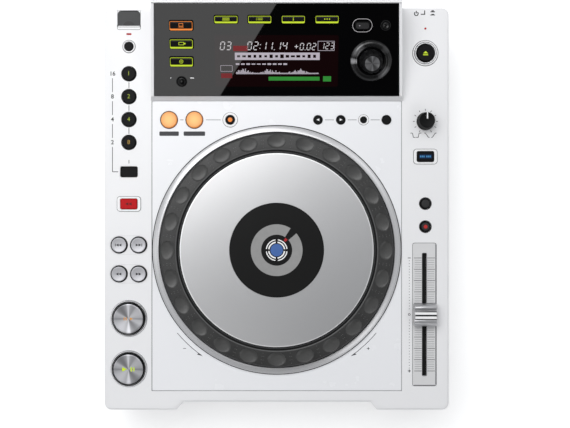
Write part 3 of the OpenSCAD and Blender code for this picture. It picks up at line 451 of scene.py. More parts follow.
def glowing(name, color, strength=1.0, base=(0.02, 0.02, 0.02)):
    """A lens or mark lit from behind, a little uneven."""
    s = Shader(name, base, 0.35, Specular_IOR_Level=0.1)
    s.bsdf.inputs["Emission Color"].default_value = (*color, 1.0)
    level = s.spread(s.noise(220.0, 2.0), strength * 0.88, strength * 1.08)
    s.links.new(level, s.bsdf.inputs["Emission Strength"])
    s.bump(s.noise(900.0, 2.0), 0.02, 0.03)
    return s.material


def glossy_black(name, color, roughness, specular=0.5):
    """Polished acrylic with very faint smears."""
    s = Shader(name, color, roughness, Specular_IOR_Level=specular)
    s.rough(s.spread(s.noise(18.0, 5.0), roughness, roughness * 1.6))
    s.bump(s.noise(35.0, 2.0), 0.004, 0.05)
    return s.material


CASE_WHITE = moulded("case_white_plastic", (0.80, 0.80, 0.81), 0.30, 0.03)
DECK_WHITE = moulded("deck_white_plastic", (0.81, 0.815, 0.835), 0.26)
BASE_WHITE = moulded("base_white_plastic", (0.74, 0.74, 0.75), 0.4, 0.06)
BEZEL_WHITE = moulded("bezel_white_plastic", (0.84, 0.84, 0.845), 0.28)
BLACK_KEY = moulded("black_key_plastic", (0.005, 0.005, 0.0055), 0.42, 0.05, Specular_IOR_Level=0.08)
# Soft black is also the painted shade of the USB cover's nail hollow
BLACK_SOFT_AND_PAINTED_SHADE = moulded("black_soft_plastic", (0.012, 0.012, 0.0125), 0.45, 0.08, Specular_IOR_Level=0.35)
# Seam black is also painted shade in the jog wheel's gaps and grooves and on the slider's cap
SEAM_AND_PAINTED_SHADE_BLACK = moulded("seam_black", (0.006, 0.006, 0.006), 0.6, 0.05, Specular_IOR_Level=0.15)
COVER_GREY = moulded("cover_grey_plastic", (0.028, 0.029, 0.031), 0.42, 0.05, Specular_IOR_Level=0.3)
RED_KEY = moulded("red_key_plastic", (0.47, 0.006, 0.009), 0.38, 0.03, Specular_IOR_Level=0.1)
RED_DARK = moulded("red_dark_plastic", (0.10, 0.002, 0.003), 0.4, 0.0, Specular_IOR_Level=0.2)
PRINT_BLACK = moulded("print_black", (0.035, 0.035, 0.037), 0.5, 0.0, Specular_IOR_Level=0.2)
# Print grey is also a painted shadow line on the deck, a painted highlight round the USB nail hollow and the
# lit keys' glints
PRINT_AND_PAINTED_LIGHT_GREY = moulded("print_grey", (0.055, 0.055, 0.06), 0.5, 0.0, Specular_IOR_Level=0.2)
# Pale print grey is also the paler painted lit seams on the deck and a painted shadow on the slider plate
PALE_PRINT_AND_PAINTED_LIGHT = moulded("print_light_grey", (0.20, 0.20, 0.21), 0.5, 0.0)
# Print white is also a painted highlight on the USB cover's front edge
PRINT_AND_PAINTED_HIGHLIGHT_WHITE = moulded("print_white", (0.86, 0.86, 0.86), 0.5, 0.0)
PLATE_GREY = moulded("plate_grey", (0.64, 0.64, 0.645), 0.34, 0.03)
RUBBER = moulded("rubber_black", (0.02, 0.02, 0.02), 0.7, 0.2)
SOCKET_DARK = moulded("socket_dark", (0.03, 0.03, 0.032), 0.45, 0.06)
BOARD_GREEN = moulded("board_green", (0.02, 0.12, 0.05), 0.4, 0.1)
KEY_SILVER = moulded("key_silver_paint", (0.42, 0.42, 0.44), 0.36, 0.03, Metallic=0.6)
STEEL = metal("steel_sheet", (0.58, 0.58, 0.59), 0.34)
TRIM_SILVER = metal("trim_silver", (0.70, 0.70, 0.71), 0.32)
WINDOW_BLACK = glossy_black("window_black", (0.001, 0.001, 0.0012), 0.01)
GLOSS_BLACK = glossy_black("gloss_black", (0.002, 0.002, 0.002), 0.08)
SCREEN_BLACK = glossy_black("screen_black", (0.006, 0.0012, 0.0016), 0.01)
JOG_WINDOW = glossy_black("jog_window_black", (0.008, 0.008, 0.008), 0.24, 0.12)
GLOW_GREEN = glowing("glow_yellow_green", (0.60, 0.78, 0.02), 0.95)
GLOW_AMBER = glowing("glow_amber", (0.70, 0.33, 0.07), 0.95)
GLOW_ORANGE = glowing("glow_orange", (0.95, 0.27, 0.04), 0.95)
DIGIT_GREEN = glowing("digit_yellow_green", (0.48, 0.62, 0.04))
DIGIT_AMBER = glowing("digit_amber", (0.60, 0.36, 0.06))
LENS_RED = glowing("lens_red", (0.42, 0.012, 0.01))
GLOW_RED = glowing("glow_red", (0.38, 0.005, 0.008))
GLOW_NAVY = glowing("glow_navy", (0.003, 0.016, 0.05), base=(0.004, 0.006, 0.012))
GLOW_BLUE = glowing("glow_blue", (0.045, 0.12, 0.36))
GLOW_CYAN = glowing("glow_cyan", (0.05, 0.24, 0.50))
SEGMENT_WHITE = glowing("segment_white", (0.60, 0.58, 0.60))
SEGMENT_DIM = glowing("segment_dim", (0.46, 0.42, 0.48))
SEGMENT_RED = glowing("segment_red", (0.17, 0.006, 0.009))
SEGMENT_GREEN = glowing("segment_green", (0.01, 0.22, 0.015))
JOG_GREY = glowing("jog_mark_grey", (0.27, 0.27, 0.27))


def dress(material, *nodes):
    for node in nodes:
        data = NODES[node].data
        data.materials.clear()
        data.materials.append(material)


# ---------------------------------------------------------------- jog wheel

RING_LOW, RING_HIGH = box_mm("jog_ring")
RING_R = (RING_HIGH.x - RING_LOW.x) / 2
RING_TOP = RING_HIGH.z - DECK_Z
RING_BASE = RING_LOW.z - DECK_Z
RING_IN = RING_R - 16.0
# The finger ring's section: width and fall of its crown, where its round edge starts as a share of the way
# out, the share of the full drop that this edge takes, the lip along its inner edge, its foot and inner wall
CROWN_W, CROWN_FALL = 2.0, 1.2
EDGE_FROM, EDGE_SHARE = 0.86, 0.7
LIP_W = 1.3
FOOT_IN, FOOT_H = 6.0, 1.4
WALL_H = 4.0
DIMPLES = 24
DIMPLE_C = RING_IN + 8.0
DIMPLE_ACROSS, DIMPLE_ALONG, DIMPLE_DEEP = 6.0, 7.9, 2.0
DIMPLE_SEEN = 0.1
PLATTER_LOW, PLATTER_HIGH = box_mm("jog_platter")
PLATTER_R = (PLATTER_HIGH.x - PLATTER_LOW.x) / 2
PLATTER_TOP = PLATTER_HIGH.z - DECK_Z
TRIM_IN, TRIM_OUT, TRIM_TOP = RING_R + 0.55, RING_R + 6.0, 3.4
WHEEL_STEPS = 240


def ring_height(r):
    """Height of the finger ring's skin at radius r: a flat inner crown falling away to a round edge."""
    t = max(0.0, min(1.0, (r - RING_IN - CROWN_W) / (RING_R - RING_IN - CROWN_W)))
    edge = (RING_TOP - RING_BASE - FOOT_H) * EDGE_SHARE * (max(0.0, t - EDGE_FROM) / (1 - EDGE_FROM)) ** 2
    lip = LIP_W * max(0.0, 1 - (r - RING_IN) / LIP_W) ** 2
    return RING_TOP - CROWN_FALL * t ** 1.5 - edge - lip


def ring_material():
    """Dark rubber-like plastic, with a paler band along its inner edge as a painted highlight, and near-black
    borders along both edges as painted shade.
    """
    s = Shader("ring_grey_rubber", (0.02, 0.02, 0.02), 0.4, Specular_IOR_Level=0.4)
    cloud = s.mix(s.noise(55.0, 5.0, 0.65), (0.005, 0.005, 0.0053), (0.036, 0.036, 0.035))
    r = s.radius(JOG)
    # Painted highlight: a paler band just inside the inner edge
    painted_edge_highlight = s.spread(r, 1.0, 0.0, (RING_IN + 1.1) * MM, (RING_IN + 1.9) * MM)
    tone = s.mix(painted_edge_highlight, cloud, (0.075, 0.075, 0.075))
    # Painted shade: near-black along the outer round edge and along the inner edge
    outer = s.spread(r, 0.0, 1.0, (RING_R - 1.7) * MM, (RING_R - 1.4) * MM)
    inner = s.spread(r, 1.0, 0.0, (RING_IN + 0.5) * MM, (RING_IN + 0.8) * MM)
    s.color(s.mix(s.maths("MAXIMUM", outer, inner), tone, (0.001, 0.001, 0.001)))
    s.rough(s.spread(s.noise(120.0, 3.0), 0.34, 0.5))
    s.bump(s.noise(1500.0, 2.0), 0.16, 0.06)
    s.bump(s.noise(260.0, 2.0), 0.10, 0.1)
    return s.material


def hollow_material():
    """The ring's hollows, with a little smoother gloss and a paler colour, which is a painted sheen on their
    floors.
    """
    s = Shader("ring_hollow_rubber", (0.05, 0.05, 0.05), 0.34, Specular_IOR_Level=0.5)
    # Painted sheen: the hollows are paler than the rest of the ring
    s.color(s.mix(s.noise(70.0, 4.0, 0.6), (0.016, 0.016, 0.016), (0.058, 0.058, 0.056)))
    s.rough(s.spread(s.noise(120.0, 3.0), 0.3, 0.42))
    s.bump(s.noise(1500.0, 2.0), 0.10, 0.06)
    return s.material


def dimple(r, along):
    """Depth of an oval scoop with a crisp rim, deepest towards the middle of the wheel."""
    u = (r - DIMPLE_C) / DIMPLE_ACROSS
    q = u ** 2 + (along / DIMPLE_ALONG) ** 2
    return DIMPLE_DEEP * (1 - q) ** 0.5 * (0.62 - 0.38 * u) if q < 1 else 0.0


def in_hollow(point):
    """Whether a point of the ring, taken from the wheel's axis, lies inside one of the hollows."""
    turn = math.tau / DIMPLES
    phase = (math.atan2(point.y, point.x) + turn / 2) % turn - turn / 2
    return dimple(math.hypot(point.x, point.y), phase * DIMPLE_C) > DIMPLE_SEEN


def jog_ring():
    """The dark finger ring with its oval hollows."""
    rows = 52
    pitch = 40
    around = DIMPLES * pitch
    radii = [RING_IN + (RING_R - RING_IN) * i / rows for i in range(rows + 1)]
    under = [(RING_R, RING_BASE), (RING_IN - FOOT_IN, RING_BASE + FOOT_H),
             (RING_IN - FOOT_IN, RING_TOP - WALL_H), (RING_IN, RING_TOP - WALL_H)]
    columns = []
    for i in range(around):
        a = math.tau * i / around
        along = ((i + pitch / 2) % pitch - pitch / 2) * math.tau / around * DIMPLE_C
        column = [(r, ring_height(r) - dimple(r, along)) for r in radii] + under
        columns.append([(r * math.cos(a), r * math.sin(a), z) for r, z in column])
    piece = Solid().web(columns, AT_JOG).piece("finger_ring", ring_material(), "jog_wheel", 24)
    # The hollows get the paler material, with its painted sheen
    piece.data.materials.append(hollow_material())
    for face in piece.data.polygons:
        if face.center.z > JOG.z and in_hollow((face.center - JOG) / MM):
            face.material_index = 1
    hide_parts("jog_ring")


STUD_PROFILE = ((0, 0), (0.36, 0), (0.3, 0.22), (0.16, 0.34), (0, 0.38))
STUD_SPOTS = ((-4.6, 0.0), (-1.6, -0.6), (-1.6, 0.9), (1.5, -0.9), (1.5, 0.7), (4.4, 0.0))
STUD_SUNK = 0.1


def ring_studs():
    """Small grip points between the hollows."""
    studs = Solid()
    for i in range(DIMPLES):
        for across, along in STUD_SPOTS:
            r = DIMPLE_C + across
            a = math.tau * (i + 0.5) / DIMPLES + along / DIMPLE_C
            at = shift(r * math.cos(a), r * math.sin(a), ring_height(r) - STUD_SUNK, AT_JOG)
            studs.revolve(STUD_PROFILE, at, steps=8)
    studs.piece("finger_ring_studs", moulded("stud_worn_grey", (0.10, 0.10, 0.10), 0.35), "jog_wheel")


def trim_ring():
    """The bright ring round the wheel: it falls outwards, and on either side lies a thin black ring of
    painted shade for the gap.
    """
    slope = [(TRIM_IN, -1), (TRIM_OUT, -1), (TRIM_OUT, 2.5), (TRIM_OUT - 0.25, 2.72),
             (TRIM_IN + 0.5, TRIM_TOP), (TRIM_IN, TRIM_TOP - 0.4)]
    silver = spun("trim_ring_silver", (0.57, 0.57, 0.58), 0.28, 2000.0, metallic=0.42)
    Solid().revolve(slope, AT_JOG, WHEEL_STEPS).piece("jog_trim_ring", silver)
    # Painted shade: black rings in the gap outside the trim and along its inner wall
    gap_shade = Solid().revolve(flat_ring(TRIM_OUT + 0.02, TRIM_OUT + 1.0, 0, 0.1), AT_JOG, WHEEL_STEPS)
    gap_shade.revolve(flat_ring(TRIM_IN - 0.25, TRIM_IN - 0.02, -1, TRIM_TOP - 0.5), AT_JOG, WHEEL_STEPS)
    gap_shade.piece("jog_trim_gaps", SEAM_AND_PAINTED_SHADE_BLACK)


# Bands of the platter's edge, as radii inside its rim, from the rim inwards: painted shade for a gap, a grey
# line, painted shade for a groove and a painted highlight for a bevel
EDGE_BANDS = (("platter_edge_outer", 0.0, 0.5), ("platter_edge_line", 0.5, 1.25),
              ("platter_edge_groove", 1.25, 2.1), ("platter_edge_bevel", 2.1, 2.9))


def platter_edge():
    """Dark and bright bands along the platter's rim: painted shade of a gap and a groove, a grey line and a
    painted bevel highlight.
    """
    painted_bevel_highlight = spun("platter_bevel", (0.80, 0.80, 0.80), 0.35, 3000.0)
    for (name, r1, r0), material in zip(EDGE_BANDS, (SEAM_AND_PAINTED_SHADE_BLACK, COVER_GREY, SEAM_AND_PAINTED_SHADE_BLACK, painted_bevel_highlight)):
        profile = flat_ring(PLATTER_R - r0, PLATTER_R - r1, PLATTER_TOP - 0.2, PLATTER_TOP + 0.05)
        Solid().revolve(profile, AT_JOG, WHEEL_STEPS).piece(name, material, "jog_wheel")


def jog_display_marks():
    """What the middle display shows: a broken ring, a position marker and a ringed blue centre."""
    at = shift(z=box_mm("jog_display")[1].z - DECK_Z, base=AT_JOG)
    gap_at, gap = math.radians(49), math.radians(17)
    ring = Solid().revolve(flat_ring(13.6, 22.7, 0, PRINT_T), at, 120, gap_at + gap / 2, math.tau - gap)
    ring.piece("jog_mark_ring", JOG_GREY)
    pointer = [(10.4, -1.0), (13.2, -1.3), (13.2, 1.3), (10.4, 1.0)]
    Solid().plates([pointer], at @ Matrix.Rotation(gap_at, 4, "Z")).piece("jog_mark_position", GLOW_RED)
    arcs = Solid()
    for start in (7, 97, 187, 277):
        for r0, r1 in ((6.3, 7.5), (8.6, 9.5)):
            arcs.revolve(flat_ring(r0, r1, 0, PRINT_T), at, 24, math.radians(start), math.radians(76))
    arcs.piece("jog_mark_arcs", PRINT_AND_PAINTED_HIGHLIGHT_WHITE)
    Solid().plates([circle(5.5)], at).piece("jog_mark_centre", GLOW_BLUE)


# ---------------------------------------------------------------- what lies on and round a key

def marks(spot, what, outlines, material, z=0.0):
    """Flat marks on a key's top, z above it."""
    Solid().plates(outlines, spot.at(spot.top + z)).piece(f"{spot.name}_{what}", material, spot.node)


def collar(spot, what, r0, r1, height, material, edge):
    """A ring round a round key, its upper edges cut off by edge."""
    low = -0.4
    profile = [(r0, low), (r1, low), (r1, height - edge), (r1 - edge, height), (r0 + edge, height),
               (r0, height - edge)]
    Solid().revolve(profile, spot.at(), steps=72).piece(f"{spot.name}_{what}", material)


def outline_ring(spot, what, r, width, material):
    """A thin dark line round a round bezel."""
    profile = flat_ring(r, r + width, -0.1, PRINT_T)
    Solid().revolve(profile, spot.at(), steps=72).piece(f"{spot.name}_{what}", material)


def frame_band(spot, what, inner, outer, low, height, material):
    """A rounded frame round a wide key; inner and outer are how far it reaches past the key in x and y."""
    outlines = [rounded(2 * (spot.rx + x), 2 * (spot.ry + y), 1.5 + min(x, y) * 0.6)
                for x, y in (outer, inner)]
    Solid().band(*outlines, low, height, spot.at()).piece(f"{spot.name}_{what}", material)


def key_bezel(spot, line):
    """The raised white frame round a wide key, with a thin line round it."""
    frame_band(spot, "frame", (0.45, 0.45), (2.9, 1.95), -0.3, 0.7, BEZEL_WHITE)
    frame_band(spot, "frame_line", (2.9, 1.95), (3.25, 2.3), -0.1, 0.3, line)


def face_disc(spot, what, radius, rim, middle, material):
    """A turned face on top of a round key: rim and middle are its heights over the key's top."""
    shoulder, fall, steps = 0.5, 0.3, 8
    profile = [(0, -0.05), (radius, -0.05)]
    for i in range(steps + 1):
        a = math.pi / 2 * i / steps
        profile.append((radius - shoulder * (1 - math.cos(a)), rim - fall * (1 - math.sin(a))))
    for i in range(1, steps + 1):
        t = 1 - i / steps
        profile.append(((radius - shoulder) * t, middle + (rim - middle) * t * t))
    at = spot.at(spot.top)
    Solid().revolve(profile, at).piece(f"{spot.name}_{what}", material, spot.node, origin=at)


# ---------------------------------------------------------------- keys on the deck

def deck_spots():
    """Where the keys on the deck lie, by their short names. All start black."""
    high = DECK_Z + 4
    nodes = [n for n in NODES if n.endswith("_button") and n != "power_button" and box_mm(n)[1].z < high]
    dress(BLACK_KEY, *nodes)
    spots = [Spot(node, DECK) for node in nodes]
    return {spot.name: spot for spot in spots}


def beat_keys(spots):
    for number in ("1", "2", "4", "8"):
        spot = spots[f"beat_{number}"]
        glow = DIGIT_AMBER if number == "8" else DIGIT_GREEN
        digits(number, spot.at(spot.top), f"beat_{number}_mark", glow, spot.node, -0.07)
        collar(spot, "collar", 6.35, 6.85, 0.25, SEAM_AND_PAINTED_SHADE_BLACK, 0.1)


def small_round_keys(usb_stop, tempo_range, master_tempo):
    collar(usb_stop, "collar", 4.25, 5.4, 0.9, BEZEL_WHITE, 0.35)
    outline_ring(usb_stop, "line", 5.4, 0.45, PRINT_BLACK)
    for spot in (tempo_range, master_tempo):
        collar(spot, "collar", 5.15, 5.6, 0.25, SEAM_AND_PAINTED_SHADE_BLACK, 0.1)
        face_disc(spot, "face", 3.6, 0.1, 0.12, BLACK_SOFT_AND_PAINTED_SHADE)
    marks(master_tempo, "lens", [circle(1.7, 24)], LENS_RED, 0.15)


def eject_key(spot):
    collar(spot, "gap", 7.65, 8.0, 0.3, SEAM_AND_PAINTED_SHADE_BLACK, 0.1)
    collar(spot, "collar_silver", 8.0, 9.55, 1.3, TRIM_SILVER, 0.6)
    collar(spot, "collar_white", 9.9, 11.0, 0.8, BEZEL_WHITE, 0.35)
    outline_ring(spot, "groove", 9.55, 0.35, PRINT_AND_PAINTED_LIGHT_GREY)
    outline_ring(spot, "line", 11.0, 0.5, PRINT_BLACK)
    marks(spot, "mark", [[(-2.2, -0.5), (2.2, -0.5), (0, 1.7)], bar(4.4, 0.8, 0, -1.7)], GLOW_GREEN)


def wide_keys(jog_mode, reverse):
    key_bezel(jog_mode, PRINT_BLACK)
    marks(jog_mode, "glow", [rounded(11.4, 3.6, 0.7)], GLOW_NAVY)
    marks(jog_mode, "mark", [bar(1.0, 1.6, x) for x in (-4.4, -2.9, -1.4, 1.0, 2.5, 4.0)], GLOW_CYAN, PRINT_T)
    dress(RED_KEY, reverse.node)
    key_bezel(reverse, PRINT_AND_PAINTED_LIGHT_GREY)
    marks(reverse, "mark", [triangle(2.8, x, math.pi) for x in (-1.6, 1.4)], RED_DARK)


def search_pairs(spots):
    """A thin rounded line round each pair of search keys, and their dished silver faces."""
    for pair in ("track", "search"):
        a, b = spots[pair + "_back"], spots[pair + "_forward"]
        h = 2 * (a.rx + 1.5)
        w = b.x - a.x + h
        at = shift((a.x + b.x) / 2, a.y, 0, DECK)
        line = Solid().band(rounded(w, h, h / 2, 12), rounded(w - 0.6, h - 0.6, h / 2, 12), 0, 0.12, at)
        line.piece(pair + "_pair_line", PLATE_GREY)
        for spot in (a, b):
            collar(spot, "collar", 7.15, 7.65, 0.3, SEAM_AND_PAINTED_SHADE_BLACK, 0.12)
            face_disc(spot, "face", spot.rx - 0.35, 0.5, 0.1, KEY_SILVER)


# Icons of the search keys: x of the two triangles, the way they point, and x of the bar where there is one
SEARCH_ICONS = {"track_back": ((-1.3, 1.2), math.pi, -3.1), "track_forward": ((-1.2, 1.3), 0.0, 3.1),
                "search_back": ((-1.4, 1.1), math.pi, None), "search_forward": ((-1.1, 1.4), 0.0, None)}


def search_marks(spots):
    size = 2.5
    for name, (places, turn, stop) in SEARCH_ICONS.items():
        outlines = [triangle(size, x, turn) for x in places]
        if stop is not None:
            outlines.append(bar(0.6, size, stop))
        marks(spots[name], "mark", outlines, PRINT_BLACK, 0.2)


CUE_ICON = (bar(0.9, 2.6, -3.6), bar(0.9, 2.6, -1.8), triangle(2.8, 2.6))
PLAY_ICON = (triangle(4.3, -3.6), bar(1.3, 3.7, 2.6), bar(1.3, 3.7, 5.0))


def large_key(spot, glow, icon):
    """Cue and play: a turned face with painted sheen streaks in its colour, in a silver bezel."""
    face = cone_with_painted_sheen(spot.name + "_spun_metal", (0.10, 0.10, 0.105), (0.72, 0.72, 0.75), 0.34)
    face_disc(spot, "face", 13.0, 0.7, 0.15, face)
    collar(spot, "bezel", 14.6, 15.9, 1.5, TRIM_SILVER, 0.55)
    outline_ring(spot, "line", 15.9, 0.35, PALE_PRINT_AND_PAINTED_LIGHT)
    marks(spot, "mark", icon, glow, 0.2)


def loop_lens(spot):
    """An amber lens, paler in the middle, lit from behind."""
    s = Shader(spot.name + "_lens", (0.42, 0.22, 0.07), 0.3, Specular_IOR_Level=0.3)
    r = s.radius((spot.x * MM, spot.y * MM, 0))
    edge = s.maths("POWER", s.spread(r, 0.0, 1.0, 0.0, spot.rx * MM), 2.0)
    s.links.new(s.mix(edge, (0.62, 0.40, 0.15), (0.46, 0.13, 0.03)), s.bsdf.inputs["Emission Color"])
    s.bsdf.inputs["Emission Strength"].default_value = 0.9
    s.bump(s.noise(700.0, 2.0), 0.03, 0.03)
    return s.material


def front_row_keys(spots):
    for spot in (spots["loop_in"], spots["loop_out"]):
        dress(loop_lens(spot), spot.node)
        collar(spot, "collar", 7.3, 7.9, 0.6, COVER_GREY, 0.15)
    reloop = spots["reloop"]
    face_disc(reloop, "lens", 2.0, 0.2, 0.35, GLOW_ORANGE)
    collar(reloop, "collar", reloop.rx + 0.35, 6.35, 0.6, BEZEL_WHITE, 0.3)
    outline_ring(reloop, "line", 6.35, 0.35, PRINT_AND_PAINTED_LIGHT_GREY)
    for name, turn in (("call_previous", math.pi), ("call_next", 0.0)):
        marks(spots[name], "mark", [triangle(2.4, 0, turn)], PRINT_AND_PAINTED_HIGHLIGHT_WHITE)
    delete = spots["delete"]
    collar(delete, "collar", delete.rx + 0.3, 4.5, 0.4, BEZEL_WHITE, 0.2)
    outline_ring(delete, "line", 4.5, 0.3, PRINT_AND_PAINTED_LIGHT_GREY)


def deck_keys(spots):
    beat_keys(spots)
    small_round_keys(spots["usb_stop"], spots["tempo_range"], spots["master_tempo"])
    eject_key(spots["eject"])
    wide_keys(spots["jog_mode"], spots["reverse"])
    search_pairs(spots)
    search_marks(spots)
    large_key(spots["cue"], GLOW_AMBER, CUE_ICON)
    large_key(spots["play"], GLOW_GREEN, PLAY_ICON)
    front_row_keys(spots)


# ---------------------------------------------------------------- print and seams on the deck

# Lines of the front row: a key, how far past its middle the line starts, the next key, how far before it ends
FRONT_LINES = (("loop_in", 9.6, "loop_out", 9.6), ("loop_out", 10.4, "reloop", 8.4),
               ("call_previous", 6.2, "call_next", 6.2), ("call_next", 6.2, "delete", 6.2),
               ("delete", 6.2, "memory", 6.0))
RAIL_LEFT = 14.6


def link_lines(spots):
    """Printed lines that join keys which belong together, with the second numbers of the beat keys."""
    y = spots["loop_in"].y
    front = [(spots[a].x + start, y, spots[b].x - end, y) for a, start, b, end in FRONT_LINES]
    beats = [spots[f"beat_{n}"] for n in (1, 2, 4, 8)]
    select = spots["beat_select"]
    rail = beats[0].x - RAIL_LEFT
    side = [(select.x, select.y + 10.4, select.x, select.y + 7.4), (rail, beats[3].y - 4.0, rail, select.y),
            (rail, select.y, select.x - select.rx - 2.2, select.y)]
    for upper, lower in zip(beats, beats[1:]):
        side += [(upper.x, upper.y - 7.6, lower.x, lower.y + 7.6), (rail, upper.y - 4.0, rail, lower.y + 4.0)]
    Solid().strokes(front, 0.42, DECK).strokes(side, 0.6, DECK).piece("print_lines", PRINT_AND_PAINTED_LIGHT_GREY)
    pills = [rounded(w, 3.9, 0.8, 4, spots[name].x, y - 12.2)
             for name, w in (("loop_in", 17.2), ("loop_out", 19.0))]
    Solid().plates(pills, DECK).piece("print_pills", PRINT_AND_PAINTED_LIGHT_GREY)
    for spot, number in zip(beats, ("16", "8", "4", "2")):
        digits(number, shift(rail, spot.y, 0, DECK), f"print_beat_{number}", PRINT_BLACK, bold=0.1)


ARROW_R = 114.7
ARROW_HALF = 0.25
ARROW_ENDS = (math.radians(35.6), math.radians(50.1))
# Corners of an arrow's head: how far outside the arrow's line, and the angle from its tip
ARROW_HEAD = ((0.0, -0.012), (1.7, 0.03), (-0.2, 0.026))
MINUS_X, PLUS_X, SIGN_Y, SIGN_REACH = -81.6, 81.0, -123.5, 1.3


def turn_arrows():
    """Curved arrows by the jog wheel, with a minus and a plus for the way it is turned."""
    solid = Solid()
    line = flat_ring(ARROW_R - ARROW_HALF, ARROW_R + ARROW_HALF, 0, PRINT_T)
    for side in (1, -1):
        start, end = sorted(side * a - math.pi / 2 for a in ARROW_ENDS)
        solid.revolve(line, AT_JOG, 30, start, end - start)
        tip = side * ARROW_ENDS[0] - math.pi / 2
        corners = [(ARROW_R + out, tip + side * a) for out, a in ARROW_HEAD]
        solid.plates([[(r * math.cos(a), r * math.sin(a)) for r, a in corners]], AT_JOG)
    signs = [(x - SIGN_REACH, SIGN_Y, x + SIGN_REACH, SIGN_Y) for x in (MINUS_X, PLUS_X)]
    signs.append((PLUS_X, SIGN_Y - SIGN_REACH, PLUS_X, SIGN_Y + SIGN_REACH))
    solid.strokes(signs, 0.45, DECK).piece("print_turn_arrows", PRINT_AND_PAINTED_LIGHT_GREY)


def panel_seams():
    """Lines between the deck panel and the case's two columns and front rail: the left one dark as painted
    shadow, the right and front ones pale grey as painted lit bevels.
    """
    width = 0.5
    edge = [p for p in local_points("deck_panel", DECK) if p.z > -0.2]
    left, right = min(p.x for p in edge), max(p.x for p in edge)
    front, back = min(p.y for p in edge), max(p.y for p in edge)
    # Painted shadow: the dark left line
    Solid().strokes([(left, front, left, back)], width, DECK).piece("deck_panel_seam_left", PRINT_AND_PAINTED_LIGHT_GREY)
    # Painted light: the right and front lines are paler than the left one
    lit = Solid().strokes([(right, front, right, back)], width, DECK)
    lit.strokes([(left - width / 2, front, right + width / 2, front)], width, DECK, PRINT_T * 1.1)
    lit.piece("deck_panel_seams", PALE_PRINT_AND_PAINTED_LIGHT)


# ---------------------------------------------------------------- hood

# A lit key: how far its rim stays inside the key, how far its cap stays inside the rim, and the cap's height
LIT_INSET = 0.45
LIT_SIDE = 0.35
LIT_FRONT = 1.5
LIT_CAP = 0.5
ICON_UP = 0.55

# Icons of the lit keys, as bars: width, height and middle
HOOD_ICONS = {
    "pc": ((3.4, 0.35, 0, 1.5), (3.4, 0.35, 0, -0.7), (0.35, 2.4, -1.7, 0.4), (0.35, 2.4, 1.7, 0.4),
           (4.4, 0.4, 0, -1.5)),
    "usb": ((4.2, 0.35, 0, 1.1), (4.2, 0.35, 0, -1.1), (0.35, 2.4, -2.1), (0.35, 2.4, 2.1), (1.2, 1.3, 3.0)),
    "disc": (),
    "browse": ((6.0, 0.4, 0, 0.9), (6.0, 0.4), (6.0, 0.4, 0, -0.9)),
    "tag_list": ((0.5, 0.5, -2.6, 0.8), (4.2, 0.4, 0.4, 0.8), (0.5, 0.5, -2.6, -0.6), (4.2, 0.4, 0.4, -0.6)),
    "info": ((0.6, 0.6, 0, 1.1), (0.6, 1.7, 0, -0.4)),
    "menu": ((0.9, 0.9, -2), (0.9, 0.9), (0.9, 0.9, 2)),
}


def lit_key(spot, glow):
    """A black key whose raised cap stands on a thin glowing rim, which is deeper along its front edge."""
    name, at = spot.name + "_key", spot.at(spot.top)
    w, h = 2 * (spot.rx - LIT_INSET), 2 * (spot.ry - LIT_INSET)
    Solid().plate(rounded(w, h, 1.1), -0.1, 0.12, at).piece(name + "_rim", glow, spot.node)
    cap_w, cap_h = w - 2 * LIT_SIDE, h - LIT_SIDE - LIT_FRONT
    up = (LIT_FRONT - LIT_SIDE) / 2
    low = rounded(cap_w, cap_h, 0.8, cy=up)
    top = rounded(cap_w - 0.4, cap_h - 0.4, 0.6, cy=up)
    cap = Solid().loft([(low, 0.05), (low, LIT_CAP - 0.15), (top, LIT_CAP)], at)
    cap.piece(name + "_cap", BLACK_KEY, spot.node)
    glint = rounded(cap_w - 1.6, 0.35, 0.15, 3, cy=up + cap_h / 2 - 0.75)
    Solid().plates([glint], shift(z=LIT_CAP, base=at)).piece(name + "_glint", PRINT_AND_PAINTED_LIGHT_GREY, spot.node)


def lit_keys():
    """The lit keys with their icons, the disc's as two rings."""
    for name, bars in HOOD_ICONS.items():
        spot = Spot(name + "_button", HOOD)
        glow = GLOW_ORANGE if name == "pc" else GLOW_GREEN
        dress(BLACK_KEY, spot.node)
        lit_key(spot, glow)
        at = shift(0, ICON_UP, 0, spot.at(spot.top + LIT_CAP))
        icon = Solid().plates([bar(*sizes) for sizes in bars], at)
        if name == "disc":
            for outer, inner, steps in ((1.7, 1.35, 40), (0.7, 0.4, 24)):
                icon.band(circle(outer, steps), circle(inner, steps), 0, PRINT_T, at)
        icon.piece(name + "_key_mark", glow, spot.node)


# Width and place of the dot and the dash beside the time mode key, for its short and its long press
TIME_MODE_SIGNS = ((0.8, -9.4), (3.4, 9.2))


